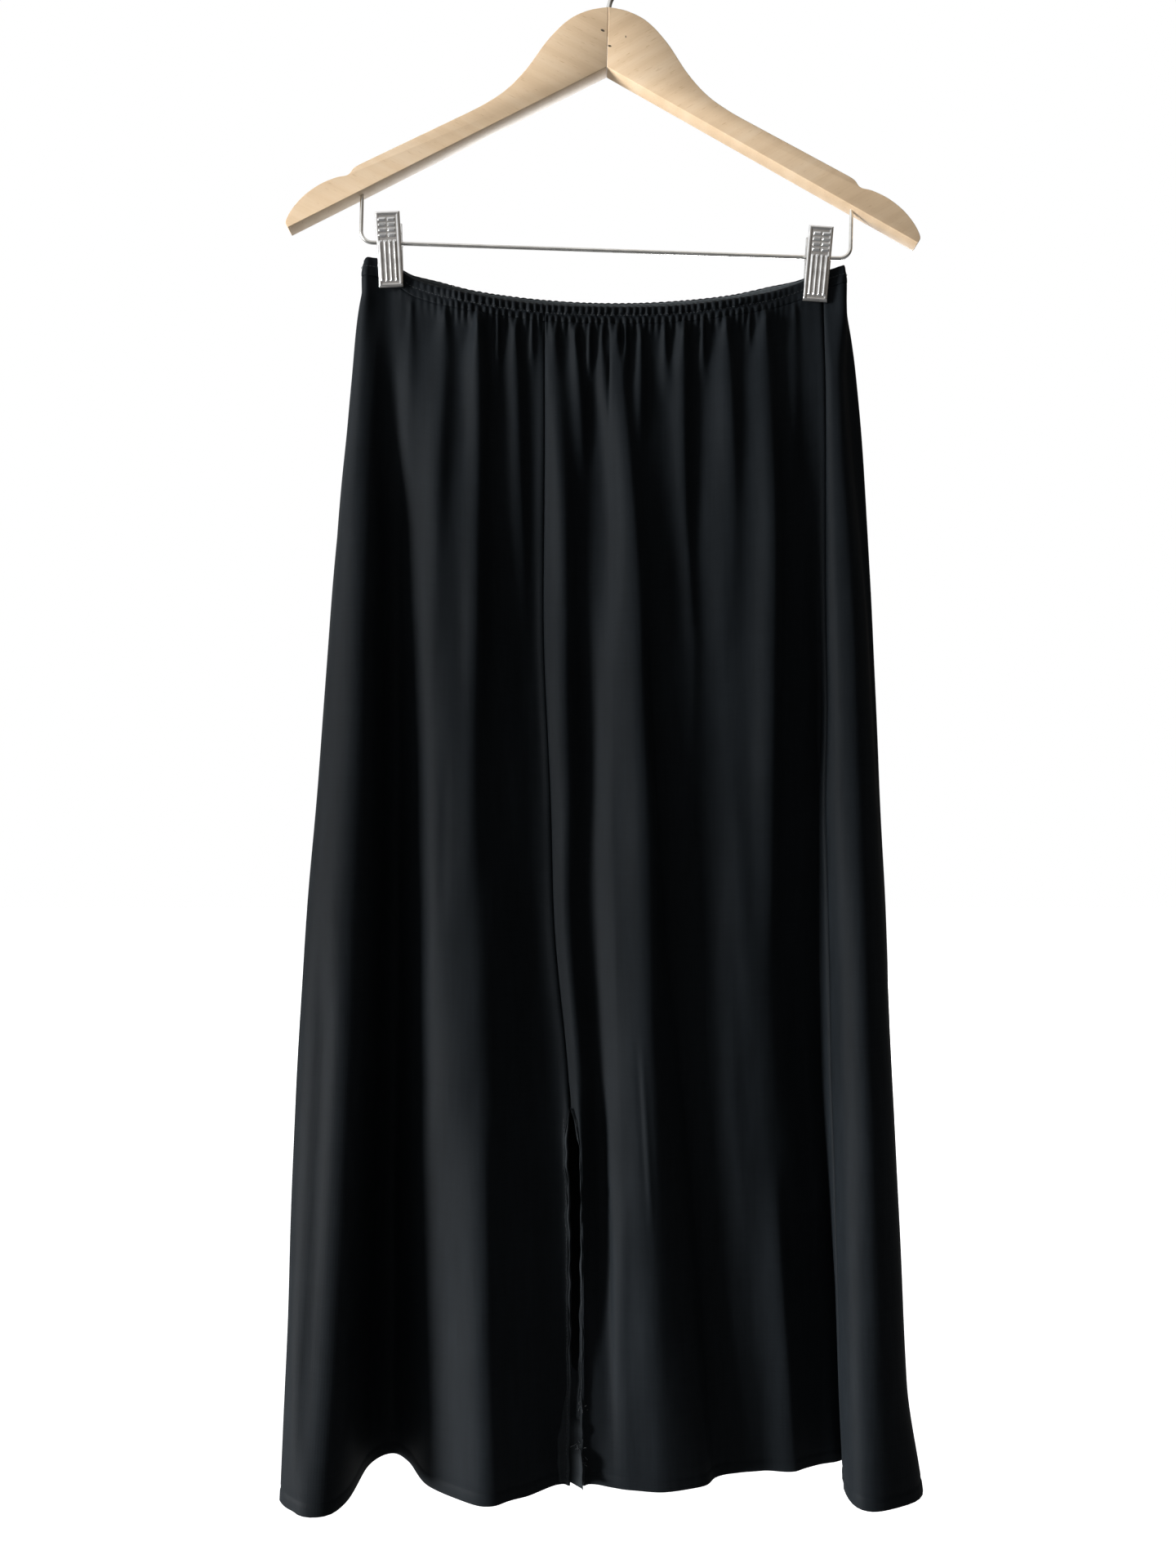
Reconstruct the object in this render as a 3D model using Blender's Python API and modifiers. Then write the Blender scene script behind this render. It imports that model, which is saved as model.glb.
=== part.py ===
"""Black slip skirt with a gathered waist, hung by two clips from a wooden hanger.

The skirt is cut as two front panels, which meet at a centre seam with a slit below it, and one
back panel. The top of each panel is turned over an elastic, which gathers it. The hanger is two
mitred arms of wood, a screw-in hook and a wire bar that carries two sprung clips.

Sizes are in millimetres and heights are below the hang point, the inside top of the hook.
+X is to the right of someone who faces the front, -Y is the front and +Z is up.
"""

import math
from collections import namedtuple

import bmesh
import bpy
import numpy as np
from mathutils import Matrix, Vector

MM = 0.001
PART_NAME = "slip_skirt_on_clip_hanger"

# Waist: the top edge of the casing, which the two clips hold and which sags between them
WAIST_LEFT = -174.0
WAIST_RIGHT = 166.0
WAIST_TOP_LEFT = -220.3
WAIST_TOP_RIGHT = -227.8
WAIST_LEVEL = -239.0
FRONT_SAG = 35.0
BACK_SAG = 26.4
FRONT_SAG_POWER = 2.4
BACK_SAG_POWER = 2.0
LEVEL_END_START = 0.78
LEVEL_END_RUN = 0.17
LEFT_END_LEVELLING = 1.0
RIGHT_END_LEVELLING = 0.4
MIDDLE_HALF_GAP = 8.5
CLIP_HALF_GAP = 2.6
END_HALF_GAP = 5.4
PINCH_HALF_WIDTH = 11.0
PINCH_RUN = 50.0

# Skirt: drops below the waist edge
SKIRT_LENGTH = 837.0
CASING_DROP = 12.0
GRIP_DROP = 24.0
TOP_DROP = 80.0
HIP_DROP = 261.0
KNEE_DROP = 545.0
SLIT_TOP_DROP = 570.0
LEVELS = (GRIP_DROP, TOP_DROP, HIP_DROP, KNEE_DROP, SKIRT_LENGTH)

# Cloth walls
PANEL_WALL = 1.5
CASING_WALL = 1.0
ELASTIC_WALL = 1.0
ELASTIC_TOP_DROP = 1.0
ELASTIC_BOTTOM_DROP = 10.5
SEAM_GAP = 0.3
SLIT_HEM_WIDTH = 4.0
SLIT_HEM_WALL = 1.0

# Gathers: one crest and one valley each
GATHERS = 150
GATHER_RELIEF = 1.4
GATHER_RELIEF_AT_CLIP = 0.2
COLUMN_PITCH = 11.5

# Panel rows, as drops: the first are finely gathered outside, and the rest are plain
GATHERED_DROPS = (CASING_DROP, 26.0, 44.0)
PLAIN_DROPS = (64.0, 105.0, 165.0, 240.0, 330.0, 430.0, 505.0, SLIT_TOP_DROP,
               600.0, 690.0, 745.0, 772.0, SKIRT_LENGTH)
CASING_DROPS = (0.0, 6.0, CASING_DROP - SEAM_GAP)

# Wooden hanger, in its own frame before it tips to the right
HANGER_TIP = math.radians(1.4)
WOOD_THICKNESS = 13.0
WOOD_EDGE_RADIUS = 2.4
UNDERSIDE_TOP = -91.8
UNDERSIDE_SLOPE = -0.537
MITRE_GAP = 0.3

# Hook
HOOK_WIRE_RADIUS = 1.75
HOOK_RADIUS = 18.0
HOOK_START = math.radians(-48.0)
HOOK_END = math.radians(196.0)
HOOK_SEAT_DEPTH = 16.0
WOOD_TOP = -50.0

# Wire bar
BAR_WIRE_RADIUS = 1.3
BAR_LEFT = -169.5
BAR_RIGHT = 174.0
BAR_LEFT_HEIGHT = -215.2
BAR_RIGHT_HEIGHT = -218.3
BAR_CORNER_RADIUS = 8.0
BAR_SEAT_DEPTH = 7.0
BORE_CLEARANCE = 0.3

# Clips, measured from the bar that they turn on
CLIP_WIDTH = 16.6
CLIP_BACK_WIDTH = 14.1
CLIP_SHEET = 1.1
CLIP_TOP = 18.4
CLIP_BOTTOM = -32.2
CLIP_LIP = 1.6
CLIP_BOTTOM_FACE = 5.1
CLIP_TOP_FACE = 10.4
CLIP_LUG_RADIUS = 3.3
SPRING_RADIUS = 3.3
SPRING_WIDTH = 11.2

Clip = namedtuple("Clip", "name x lean")
CLIPS = (
    Clip("clip_left", -153.9, math.radians(-2.4)),
    Clip("clip_right", 145.2, math.radians(4.2)),
)

# The line of each fold from waist to hem, seen from above: x to the right and y to the back
Fold = namedtuple("Fold", "name waist_x top_x top_y hip_x hip_y knee_x knee_y hem_x hem_y")
FRONT_FOLDS = (
    Fold("left_edge", -174.0, -181.5, 2, -196.3, -2, -214.3, -12, -222.6, -30),
    Fold("left_tube", -170.4, -174.5, -6, -183.0, -13, -193.0, -28, -206.0, -44),
    Fold("left_slope", -163.5, -165.0, -6, -170.0, -12, -172.4, -19, -180.0, -31),
    Fold("first_valley_in", -155.0, -158.0, -4, -160.2, 1, -163.5, 9, -170.6, 13),
    Fold("first_valley", -147.0, -149.4, -3, -149.3, 6, -150.1, 18, -155.0, 27),
    Fold("first_valley_out", -137.5, -139.4, -6, -137.7, -2, -136.0, 4, -137.0, 16),
    Fold("second_crest_in", -122.0, -124.2, -9, -121.4, -13, -118.1, -17, -120.0, -14),
    Fold("second_crest", -104.0, -106.0, -10, -98.6, -16, -90.0, -26, -89.0, -33),
    Fold("second_slope", -84.0, -85.8, -8, -76.7, -9, -66.0, -17, -60.0, -25),
    Fold("seam_valley", -59.0, -59.8, -6, -55.4, -3, -43.0, -9, -38.0, -12),
    Fold("centre_seam", -45.5, -45.5, -7, -45.6, -4, -27.9, -10, -25.6, -9),
    Fold("seam_ridge", -31.0, -31.3, -10, -31.2, -11, -20.0, -12, -15.0, -10),
    Fold("ridge_valley", -14.0, -14.3, -7, -16.5, -4, -8.0, -6, -2.0, -13),
    Fold("third_crest_in", 3.0, 2.7, -11, 1.5, -14, 7.0, -16, 15.0, -17),
    Fold("third_crest", 19.0, 18.5, -12, 21.6, -17, 28.0, -21, 37.0, -20),
    Fold("third_slope", 37.0, 36.8, -9, 38.5, -9, 48.1, -9, 66.0, -12),
    Fold("third_valley", 56.0, 56.2, -7, 57.0, -4, 67.1, 0, 86.0, 2),
    Fold("fourth_crest_in", 79.0, 79.2, -10, 82.1, -9, 88.3, -5, 108.0, 6),
    Fold("fourth_crest", 103.0, 104.8, -9, 111.0, -10, 114.6, -4, 135.0, 8),
    Fold("side_valley_in", 127.0, 131.0, -5, 134.8, -1, 137.7, 10, 159.0, 19),
    Fold("side_valley", 141.5, 143.5, -5, 146.4, 3, 153.0, 18, 175.0, 27),
    Fold("side_seam", 149.3, 150.0, -6, 150.9, -2, 158.5, 0, 165.0, -10),
    Fold("right_tube_in", 154.5, 155.0, -8, 157.5, -10, 163.0, -17, 167.5, -33),
    Fold("right_tube", 160.5, 161.0, -7, 169.0, -12, 174.0, -26, 181.0, -39),
    Fold("right_slope", 164.3, 165.0, -2, 178.5, -4, 189.0, -17, 200.0, -30),
    Fold("right_tuck", 166.0, 168.0, 3, 183.0, 5, 196.5, -4, 207.0, -15),
    Fold("right_edge", 163.2, 175.5, 10, 188.1, 14, 197.0, 10, 204.0, 8),
)
BACK_FOLDS = (
    Fold("back_right", 153.0, 167.0, 16, 177.0, 26, 185.0, 31, 193.0, 36),
    Fold("back_first_in", 139.0, 149.0, 13, 158.0, 26, 165.0, 42, 172.0, 59),
    Fold("back_first_crest", 122.0, 130.0, 13, 137.0, 24, 141.0, 43, 146.0, 66),
    Fold("back_first_out", 103.0, 110.0, 11, 115.0, 18, 118.0, 31, 122.0, 47),
    Fold("back_first_valley", 86.0, 92.0, 9, 97.0, 11, 101.0, 18, 105.0, 28),
    Fold("back_second_in", 67.0, 71.0, 12, 74.0, 19, 77.0, 32, 81.0, 46),
    Fold("back_second_crest", 45.0, 47.0, 15, 47.0, 29, 46.0, 50, 44.0, 75),
    Fold("back_second_out", 25.0, 25.0, 12, 22.0, 22, 18.0, 38, 12.0, 56),
    Fold("back_second_valley", 6.0, 5.0, 10, 2.0, 14, -4.0, 26, -11.0, 42),
    Fold("back_third_in", -12.0, -13.0, 12, -16.0, 19, -23.0, 33, -31.0, 50),
    Fold("back_third_crest", -31.0, -33.0, 13, -37.0, 25, -44.0, 42, -53.0, 61),
    Fold("back_third_out", -46.0, -50.0, 11, -57.0, 18, -65.0, 30, -74.0, 44),
    Fold("back_third_valley", -60.0, -67.0, 10, -80.0, 13, -92.0, 23, -100.0, 36),
    Fold("back_fourth_in", -74.0, -83.0, 11, -103.0, 21, -122.0, 36, -129.0, 55),
    Fold("back_fourth_crest", -87.0, -98.0, 13, -126.0, 28, -155.0, 47, -163.0, 68),
    Fold("back_fourth_out", -99.0, -112.0, 13, -147.0, 27, -187.0, 32, -194.0, 43),
    Fold("left_side_seam", -111.0, -126.0, 12, -164.0, 20, -206.0, 12, -213.0, 11),
    Fold("back_left", -131.0, -145.0, 10, -177.0, 14, -212.0, 3, -219.5, -5),
    Fold("back_left_out", -151.0, -163.0, 8, -188.0, 9, -214.5, -3, -222.0, -16),
    Fold("left_edge_back", -168.0, -177.0, 6, -195.0, 4, -215.5, -8, -222.8, -24),
)
FOLDS = FRONT_FOLDS + BACK_FOLDS
FOLD_INDEX = {fold.name: index for index, fold in enumerate(FOLDS)}
RIGHT_END = FOLD_INDEX["right_tuck"]

# Folds that fan out of the front gathers and fade into the long folds
GatherFold = namedtuple("GatherFold", "x height reach")
FRONT_GATHER_FOLDS = (
    GatherFold(-143.0, 1.6, 250.0),
    GatherFold(-123.0, 2.6, 300.0),
    GatherFold(-97.0, 3.0, 330.0),
    GatherFold(-68.0, 2.2, 210.0),
    GatherFold(-43.0, 1.6, 170.0),
    GatherFold(-23.0, 2.4, 150.0),
    GatherFold(1.0, 2.8, 320.0),
    GatherFold(15.0, 1.8, 130.0),
    GatherFold(46.0, 2.8, 290.0),
    GatherFold(75.0, 2.6, 330.0),
    GatherFold(103.0, 2.2, 240.0),
    GatherFold(122.0, 2.0, 190.0),
)
BACK_GATHER_FOLD_COUNT = 12
GATHER_FOLD_WIDTH = 9.0

# The flare of the hem's right corner
HEM_KICK = 8.0
HEM_KICK_DROP = 765.0
HEM_KICK_RUN = 90.0

# Half the slit's width by drop
SlitWidth = namedtuple("SlitWidth", "drop half_width")
SLIT_WIDTHS = (
    SlitWidth(SLIT_TOP_DROP, SEAM_GAP / 2),
    SlitWidth(600.0, 3.4),
    SlitWidth(690.0, 4.2),
    SlitWidth(745.0, 3.6),
    SlitWidth(772.0, 1.3),
    SlitWidth(SKIRT_LENGTH, 2.6),
)

Colour = namedtuple("Colour", "red green blue roughness metallic")
CLOTH = Colour(0.012, 0.014, 0.017, 0.55, 0.0)
ELASTIC = Colour(0.022, 0.025, 0.029, 0.8, 0.0)
WOOD = Colour(0.62, 0.43, 0.25, 0.45, 0.0)
STEEL = Colour(0.72, 0.72, 0.72, 0.2, 1.0)


def smoothstep(value):
    """Return a soft rise from 0 to 1 as value goes from 0 to 1."""
    value = min(max(value, 0.0), 1.0)
    return value * value * (3.0 - 2.0 * value)


def spline_weights(fraction):
    """Return the four weights of a smooth curve between its two middle points."""
    f = fraction
    return (
        0.5 * (-f + 2 * f * f - f ** 3),
        0.5 * (2 - 5 * f * f + 3 * f ** 3),
        0.5 * (f + 4 * f * f - 3 * f ** 3),
        0.5 * (-f * f + f ** 3),
    )


def smooth_line(points, steps):
    """Return a smooth open line through the points, with a number of steps between two."""
    padded = [points[0], *points, points[-1]]
    line = []
    for index in range(len(points) - 1):
        for step in range(steps):
            weights = spline_weights(step / steps)
            corners = padded[index:index + 4]
            line.append(tuple(sum(w * c[axis] for w, c in zip(weights, corners))
                              for axis in range(len(points[0]))))
    line.append(tuple(points[-1]))
    return line


def clip_grip_x(clip):
    """Return where the foot of a clip holds the waist."""
    return clip.x + math.sin(clip.lean) * CLIP_BOTTOM


def pinch(x):
    """Return how far the waist is pinched at x: 1 in a clip and 0 away from both."""
    nearest = min(abs(x - clip_grip_x(clip)) for clip in CLIPS)
    run = PINCH_RUN if clip_grip_x(CLIPS[0]) < x < clip_grip_x(CLIPS[1]) else PINCH_HALF_WIDTH
    return 1.0 - smoothstep((nearest - PINCH_HALF_WIDTH) / run)


def waist_half_gap(x):
    """Return half the waist's depth from front to back at x."""
    between_clips = clip_grip_x(CLIPS[0]) < x < clip_grip_x(CLIPS[1])
    open_gap = MIDDLE_HALF_GAP if between_clips else END_HALF_GAP
    gap = CLIP_HALF_GAP + (open_gap - CLIP_HALF_GAP) * (1.0 - pinch(x))
    inset = min(x - WAIST_LEFT, WAIST_RIGHT - x)
    if inset < END_HALF_GAP:
        gap *= math.sqrt(max(0.0, 1.0 - (1.0 - inset / END_HALF_GAP) ** 2))
    return gap


def waist_side(index):
    """Return -1 for a fold on the front of the waist, 1 for the back, and 0 at its two ends."""
    if index in (0, RIGHT_END):
        return 0
    return -1 if index < RIGHT_END else 1


def fold_grid():
    """Return each fold's x and y at each level, as an array of levels by folds by 2."""
    rows = [[(f.waist_x, waist_side(i) * waist_half_gap(f.waist_x))
             for i, f in enumerate(FOLDS)]]
    rows.append([(f.top_x, f.top_y) for f in FOLDS])
    rows.append([(f.hip_x, f.hip_y) for f in FOLDS])
    rows.append([(f.knee_x, f.knee_y) for f in FOLDS])
    rows.append([(f.hem_x, f.hem_y) for f in FOLDS])
    return np.array(rows, dtype=float)


GRID = fold_grid()
LEVEL_DROPS = np.array(LEVELS)
WAIST_SLOPE = np.array((1.8, 0.0))


def level_points(around):
    """Return x and y at each level for a place around the skirt, counted in folds."""
    first = math.floor(around)
    weights = spline_weights(around - first)
    picks = [(first + offset) % len(FOLDS) for offset in (-1, 0, 1, 2)]
    return sum(weight * GRID[:, pick] for weight, pick in zip(weights, picks))


def between_levels(points, drop):
    """Return the point at a drop on the smooth line through the levels."""
    drop = min(max(drop, LEVELS[0]), LEVELS[-1])
    slopes = np.empty_like(points)
    steps = np.diff(LEVEL_DROPS)[:, None]
    slopes[0] = (points[1] - points[0]) / steps[0] * WAIST_SLOPE
    slopes[-1] = (points[-1] - points[-2]) / steps[-1]
    slopes[1:-1] = (points[2:] - points[:-2]) / (steps[1:] + steps[:-1])
    low = min(int(np.searchsorted(LEVEL_DROPS, drop, side="right")) - 1, len(LEVELS) - 2)
    run = LEVEL_DROPS[low + 1] - LEVEL_DROPS[low]
    t = (drop - LEVEL_DROPS[low]) / run
    return (points[low] * (2 * t ** 3 - 3 * t * t + 1)
            + slopes[low] * run * (t ** 3 - 2 * t * t + t)
            + points[low + 1] * (3 * t * t - 2 * t ** 3)
            + slopes[low + 1] * run * (t ** 3 - t * t))


def waist_lengths():
    """Return places around the skirt and the length along the waist to each of them."""
    places = np.linspace(0.0, len(FOLDS), 40 * len(FOLDS) + 1)
    points = np.array([between_levels(level_points(place), CASING_DROP) for place in places])
    lengths = np.concatenate([[0.0], np.cumsum(np.linalg.norm(np.diff(points, axis=0), axis=1))])
    return places, lengths


PLACES, LENGTHS = waist_lengths()


def length_at(around):
    """Return the length along the waist at a place around the skirt."""
    return float(np.interp(around % len(FOLDS), PLACES, LENGTHS))


def place_at(length):
    """Return the place around the skirt at a length along the waist."""
    return float(np.interp(length % LENGTHS[-1], LENGTHS, PLACES))


def front_length(x):
    """Return the length along the waist at an x on the front."""
    front = FRONT_FOLDS[:RIGHT_END + 1]
    place = np.interp(x, [fold.waist_x for fold in front], range(len(front)))
    return length_at(place)


def gather_folds():
    """Return each gather fold as its length along the waist, its height and its reach."""
    folds = [(front_length(fold.x), fold.height, fold.reach) for fold in FRONT_GATHER_FOLDS]
    start = length_at(FOLD_INDEX["back_right"])
    pitch = (LENGTHS[-1] - start) / (BACK_GATHER_FOLD_COUNT + 1)
    for index in range(BACK_GATHER_FOLD_COUNT):
        offset = (index + 0.6 + 0.25 * math.sin(2.1 * index)) * pitch
        height = 2.3 + 0.7 * math.sin(1.7 * index + 0.5)
        reach = 230.0 + 80.0 * math.sin(2.9 * index + 1.0)
        folds.append((start + offset, height, reach))
    return folds


GATHER_FOLDS = gather_folds()


def gather_fold_height(length, drop):
    """Return how far the folds below the gathers stand out at a place."""
    if drop <= GRIP_DROP:
        return 0.0
    height = 0.0
    for centre, fold_height, reach in GATHER_FOLDS:
        spread = GATHER_FOLD_WIDTH * (0.75 + 0.5 * drop / reach)
        away = (length - centre) / spread
        if abs(away) < 3.0 and drop < reach:
            rise = smoothstep((drop - GRIP_DROP) / 45.0)
            fade = 1.0 - smoothstep((drop - 0.3 * reach) / (0.7 * reach))
            height += fold_height * rise * fade * math.exp(-away * away)
    return height


def hem_kick(around, drop):
    """Return how far the hem flares out at the skirt's right corner."""
    away = around - RIGHT_END
    return HEM_KICK * math.exp(-away * away) * smoothstep((drop - HEM_KICK_DROP) / HEM_KICK_RUN)


def waist_height(around):
    """Return the height of the waist's top edge at a place around the skirt."""
    x, y = level_points(around)[0]
    middle = (WAIST_LEFT + WAIST_RIGHT) / 2
    half = (WAIST_RIGHT - WAIST_LEFT) / 2
    across = min(max((x - middle) / half, -1.0), 1.0)
    ends = WAIST_TOP_LEFT + (WAIST_TOP_RIGHT - WAIST_TOP_LEFT) * (across + 1) / 2
    back = smoothstep((y + END_HALF_GAP) / (2 * END_HALF_GAP))
    levelling = LEFT_END_LEVELLING if across < 0.0 else RIGHT_END_LEVELLING
    level = 1.0 - levelling * smoothstep((abs(across) - LEVEL_END_START) / LEVEL_END_RUN)
    front_drop = FRONT_SAG * (1.0 - abs(across) ** FRONT_SAG_POWER)
    back_drop = BACK_SAG * (1.0 - abs(across) ** BACK_SAG_POWER)
    return ends - level * (front_drop + (back_drop - front_drop) * back)


def height_at(around, drop):
    """Return the height of a point of the skirt."""
    share = 1.0 - max(drop, 0.0) / SKIRT_LENGTH
    return WAIST_LEVEL - drop + (waist_height(around) - WAIST_LEVEL) * share


def plain_point(around, drop):
    """Return x and y of the plain outer surface, with its long folds only."""
    return between_levels(level_points(around), drop)


def frame_at(around, drop):
    """Return x and y, the direction along the skirt, and the direction out of it."""
    step = 0.02
    before = plain_point(around - step, drop)
    after = plain_point(around + step, drop)
    along = (after - before) / np.linalg.norm(after - before)
    return plain_point(around, drop), along, np.array((along[1], -along[0]))


def cloth_point(around, drop, out=0.0, slide=0.0):
    """Return a point of the cloth, moved out of its surface and along it."""
    point, along, outward = frame_at(around, drop)
    height = gather_fold_height(length_at(around), drop) + hem_kick(around, drop)
    point = point + outward * (height + out) + along * slide
    return Vector((point[0], point[1], height_at(around, drop))) * MM


def relief_at(around, drop):
    """Return how far a gather's crest stands out at a place."""
    x = level_points(around)[0][0]
    uneven = 1.0 + 0.25 * math.sin(0.37 * length_at(around)) * math.sin(0.11 * length_at(around))
    relief = GATHER_RELIEF * uneven
    relief += (GATHER_RELIEF_AT_CLIP - relief) * pinch(x)
    if drop < CASING_DROP:
        return relief * (0.7 + 0.3 * min(drop / 6.0, 1.0))
    return relief * (1.0 - smoothstep((drop - CASING_DROP) / 60.0))


def plain_columns(start, end):
    """Return the places of a piece's plain columns, closer where the hem has more length."""
    places = [start]
    for index in range(math.floor(start), math.ceil(end)):
        low = max(index, start)
        high = min(index + 1, end)
        run = np.linalg.norm(plain_point(high, SKIRT_LENGTH) - plain_point(low, SKIRT_LENGTH))
        count = max(1, round(run / COLUMN_PITCH))
        places += [low + (high - low) * step / count for step in range(1, count + 1)]
    return places


def gathered_columns(start, end):
    """Return the places of a piece's gathered columns, each with 1 on a crest or 0 between."""
    pitch = LENGTHS[-1] / (2 * GATHERS)
    low = length_at(start) - (LENGTHS[-1] if start < 0 else 0.0)
    high = length_at(end)
    columns = [(start, 0)]
    for index in range(math.ceil(low / pitch), math.floor(high / pitch) + 1):
        length = (index + 0.22 * math.sin(1.9 * index)) * pitch
        if low + 0.4 * pitch < length < high - 0.4 * pitch:
            place = place_at(length) - (len(FOLDS) if length < 0 else 0)
            columns.append((place, index % 2))
    columns.append((end, 0))
    return columns


def join_strips(mesh, first, second):
    """Join two lines of vertices, each listed with its place, by a strip of faces.

    Args:
        mesh: The mesh that both lines are in.
        first: Pairs of a place and a vertex, in the order of their places.
        second: The same for the other line, with any number of vertices.
    """
    i = 0
    j = 0
    while i < len(first) - 1 or j < len(second) - 1:
        next_first = first[i + 1][0] if i < len(first) - 1 else math.inf
        next_second = second[j + 1][0] if j < len(second) - 1 else math.inf
        if abs(next_first - next_second) < 1e-6:
            mesh.faces.new((first[i][1], first[i + 1][1], second[j + 1][1], second[j][1]))
            i += 1
            j += 1
        elif next_first < next_second:
            mesh.faces.new((first[i][1], first[i + 1][1], second[j][1]))
            i += 1
        else:
            mesh.faces.new((first[i][1], second[j + 1][1], second[j][1]))
            j += 1


def add_line(mesh, places, point_of):
    """Add a vertex at each place, in order, and return them with their places."""
    return [(place, mesh.verts.new(point_of(place))) for place in sorted(places)]


def close_wall(mesh, outer, inner, outer_drops, inner_drops):
    """Join the rows of a wall's two sides, and its four edges."""
    for rows in (outer, inner):
        for upper, lower in zip(rows, rows[1:]):
            join_strips(mesh, upper, lower)
    join_strips(mesh, outer[0], inner[0])
    join_strips(mesh, outer[-1], inner[-1])
    for end in (0, -1):
        outer_edge = [(drop, row[end][1]) for drop, row in zip(outer_drops, outer)]
        inner_edge = [(drop, row[end][1]) for drop, row in zip(inner_drops, inner)]
        join_strips(mesh, outer_edge, inner_edge)


def material(name, colour):
    """Return the named material, made once."""
    found = bpy.data.materials.get(name)
    if found:
        return found
    made = bpy.data.materials.new(name)
    made.use_nodes = True
    shader = made.node_tree.nodes["Principled BSDF"]
    shader.inputs["Base Color"].default_value = (colour.red, colour.green, colour.blue, 1.0)
    shader.inputs["Roughness"].default_value = colour.roughness
    shader.inputs["Metallic"].default_value = colour.metallic
    return made


def add_object(name, data, colour, collection):
    """Add an object with a material of its own, smooth but for its sharp edges."""
    piece = bpy.data.objects.new(name, data)
    collection.objects.link(piece)
    data.materials.clear()
    data.materials.append(material(f"{name}_finish", colour))
    return piece


def finish_mesh(name, mesh, colour, collection):
    """Turn every face outwards and make the object."""
    bmesh.ops.recalc_face_normals(mesh, faces=mesh.faces)
    data = bpy.data.meshes.new(name)
    mesh.to_mesh(data)
    mesh.free()
    data.shade_smooth()
    data.set_sharp_from_angle(angle=math.radians(50.0))
    return add_object(name, data, colour, collection)


def slit_half_width(drop):
    """Return half the slit's width at a drop, and half a seam's gap above the slit."""
    return float(np.interp(drop, [row.drop for row in SLIT_WIDTHS],
                           [row.half_width for row in SLIT_WIDTHS]))


def slit_slide(around, drop, edge, into):
    """Return how far cloth near the slit slides along the skirt to open it.

    Args:
        around: The place around the skirt.
        drop: The drop below the waist.
        edge: The place of the slit.
        into: -1 for the panel on its left, and 1 for the panel on its right.
    """
    fade = max(0.0, 1.0 - abs(around - edge))
    return into * (slit_half_width(drop) * fade)


def panel_slide(around, drop, start, end):
    """Return how far a panel's cloth slides along: seam gaps at its ends, and the slit."""
    slit = FOLD_INDEX["centre_seam"]
    if around == start:
        return slit_slide(around, drop, slit, 1) if start == slit else SEAM_GAP / 2
    if around == end:
        return slit_slide(around, drop, slit, -1) if end == slit else -SEAM_GAP / 2
    if drop <= SLIT_TOP_DROP or slit not in (start, end):
        return 0.0
    return slit_slide(around, drop, slit, 1 if start == slit else -1)


def slit_hem_place(edge, into):
    """Return the place of a slit hem's inner edge."""
    step = 0.05
    run = plain_point(edge + into * step, SKIRT_LENGTH) - plain_point(edge, SKIRT_LENGTH)
    return edge + into * SLIT_HEM_WIDTH * step / float(np.linalg.norm(run))


def panel_places(start, end):
    """Return a panel's plain columns, with one at the inner edge of its slit hem."""
    places = plain_columns(start, end)
    slit = FOLD_INDEX["centre_seam"]
    if start == slit:
        places.insert(1, slit_hem_place(slit, 1))
    elif end == slit:
        places.insert(-1, slit_hem_place(slit, -1))
    return places


def build_panel(name, start, end, collection):
    """Build one panel of the skirt from just under its casing to the hem."""
    mesh = bmesh.new()
    drops = GATHERED_DROPS + PLAIN_DROPS
    plain = panel_places(start, end)
    crest = dict(gathered_columns(start, end))

    def row(places, drop, out_of):
        return add_line(mesh, places, lambda place: cloth_point(
            place, drop, out_of(place), panel_slide(place, drop, start, end)))

    outer = [row(crest, drop, lambda place: crest[place] * relief_at(place, drop))
             for drop in GATHERED_DROPS]
    outer += [row(plain, drop, lambda place: 0.0) for drop in PLAIN_DROPS]
    inner = [row(crest, CASING_DROP, lambda place: -PANEL_WALL)]
    inner += [row(plain, drop, lambda place: -PANEL_WALL) for drop in drops[1:]]
    close_wall(mesh, outer, inner, drops, drops)
    return finish_mesh(name, mesh, CLOTH, collection)


def build_casing(name, start, end, collection):
    """Build the turned top of one panel, gathered outside and plain inside."""
    mesh = bmesh.new()
    crest = dict(gathered_columns(start, end))
    slides = {start: SEAM_GAP / 2, end: -SEAM_GAP / 2}
    outer = [add_line(mesh, crest, lambda place: cloth_point(
        place, drop, crest[place] * relief_at(place, drop), slides.get(place, 0.0)))
        for drop in CASING_DROPS]
    inner_drops = (CASING_DROPS[0], CASING_DROPS[-1])
    inner = [add_line(mesh, crest, lambda place: cloth_point(
        place, drop, -CASING_WALL, slides.get(place, 0.0))) for drop in inner_drops]
    close_wall(mesh, outer, inner, CASING_DROPS, inner_drops)
    return finish_mesh(name, mesh, CLOTH, collection)


def build_elastic(collection):
    """Build the elastic, one flat band all round the inside of the casing."""
    mesh = bmesh.new()
    places = sorted({place % len(FOLDS) for start, end in piece_spans().values()
                     for place in plain_columns(start, end)})
    outside = -(CASING_WALL + SEAM_GAP)
    inside = outside - ELASTIC_WALL
    rings = []
    for out, drop in ((outside, ELASTIC_TOP_DROP), (outside, ELASTIC_BOTTOM_DROP),
                      (inside, ELASTIC_BOTTOM_DROP), (inside, ELASTIC_TOP_DROP)):
        ring = add_line(mesh, places, lambda place: cloth_point(place, 0.0, out)
                        - Vector((0.0, 0.0, drop * MM)))
        rings.append(ring + [(len(FOLDS) + ring[0][0], ring[0][1])])
    for ring, following in zip(rings, rings[1:] + rings[:1]):
        join_strips(mesh, ring, following)
    return finish_mesh("waist_elastic", mesh, ELASTIC, collection)


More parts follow.
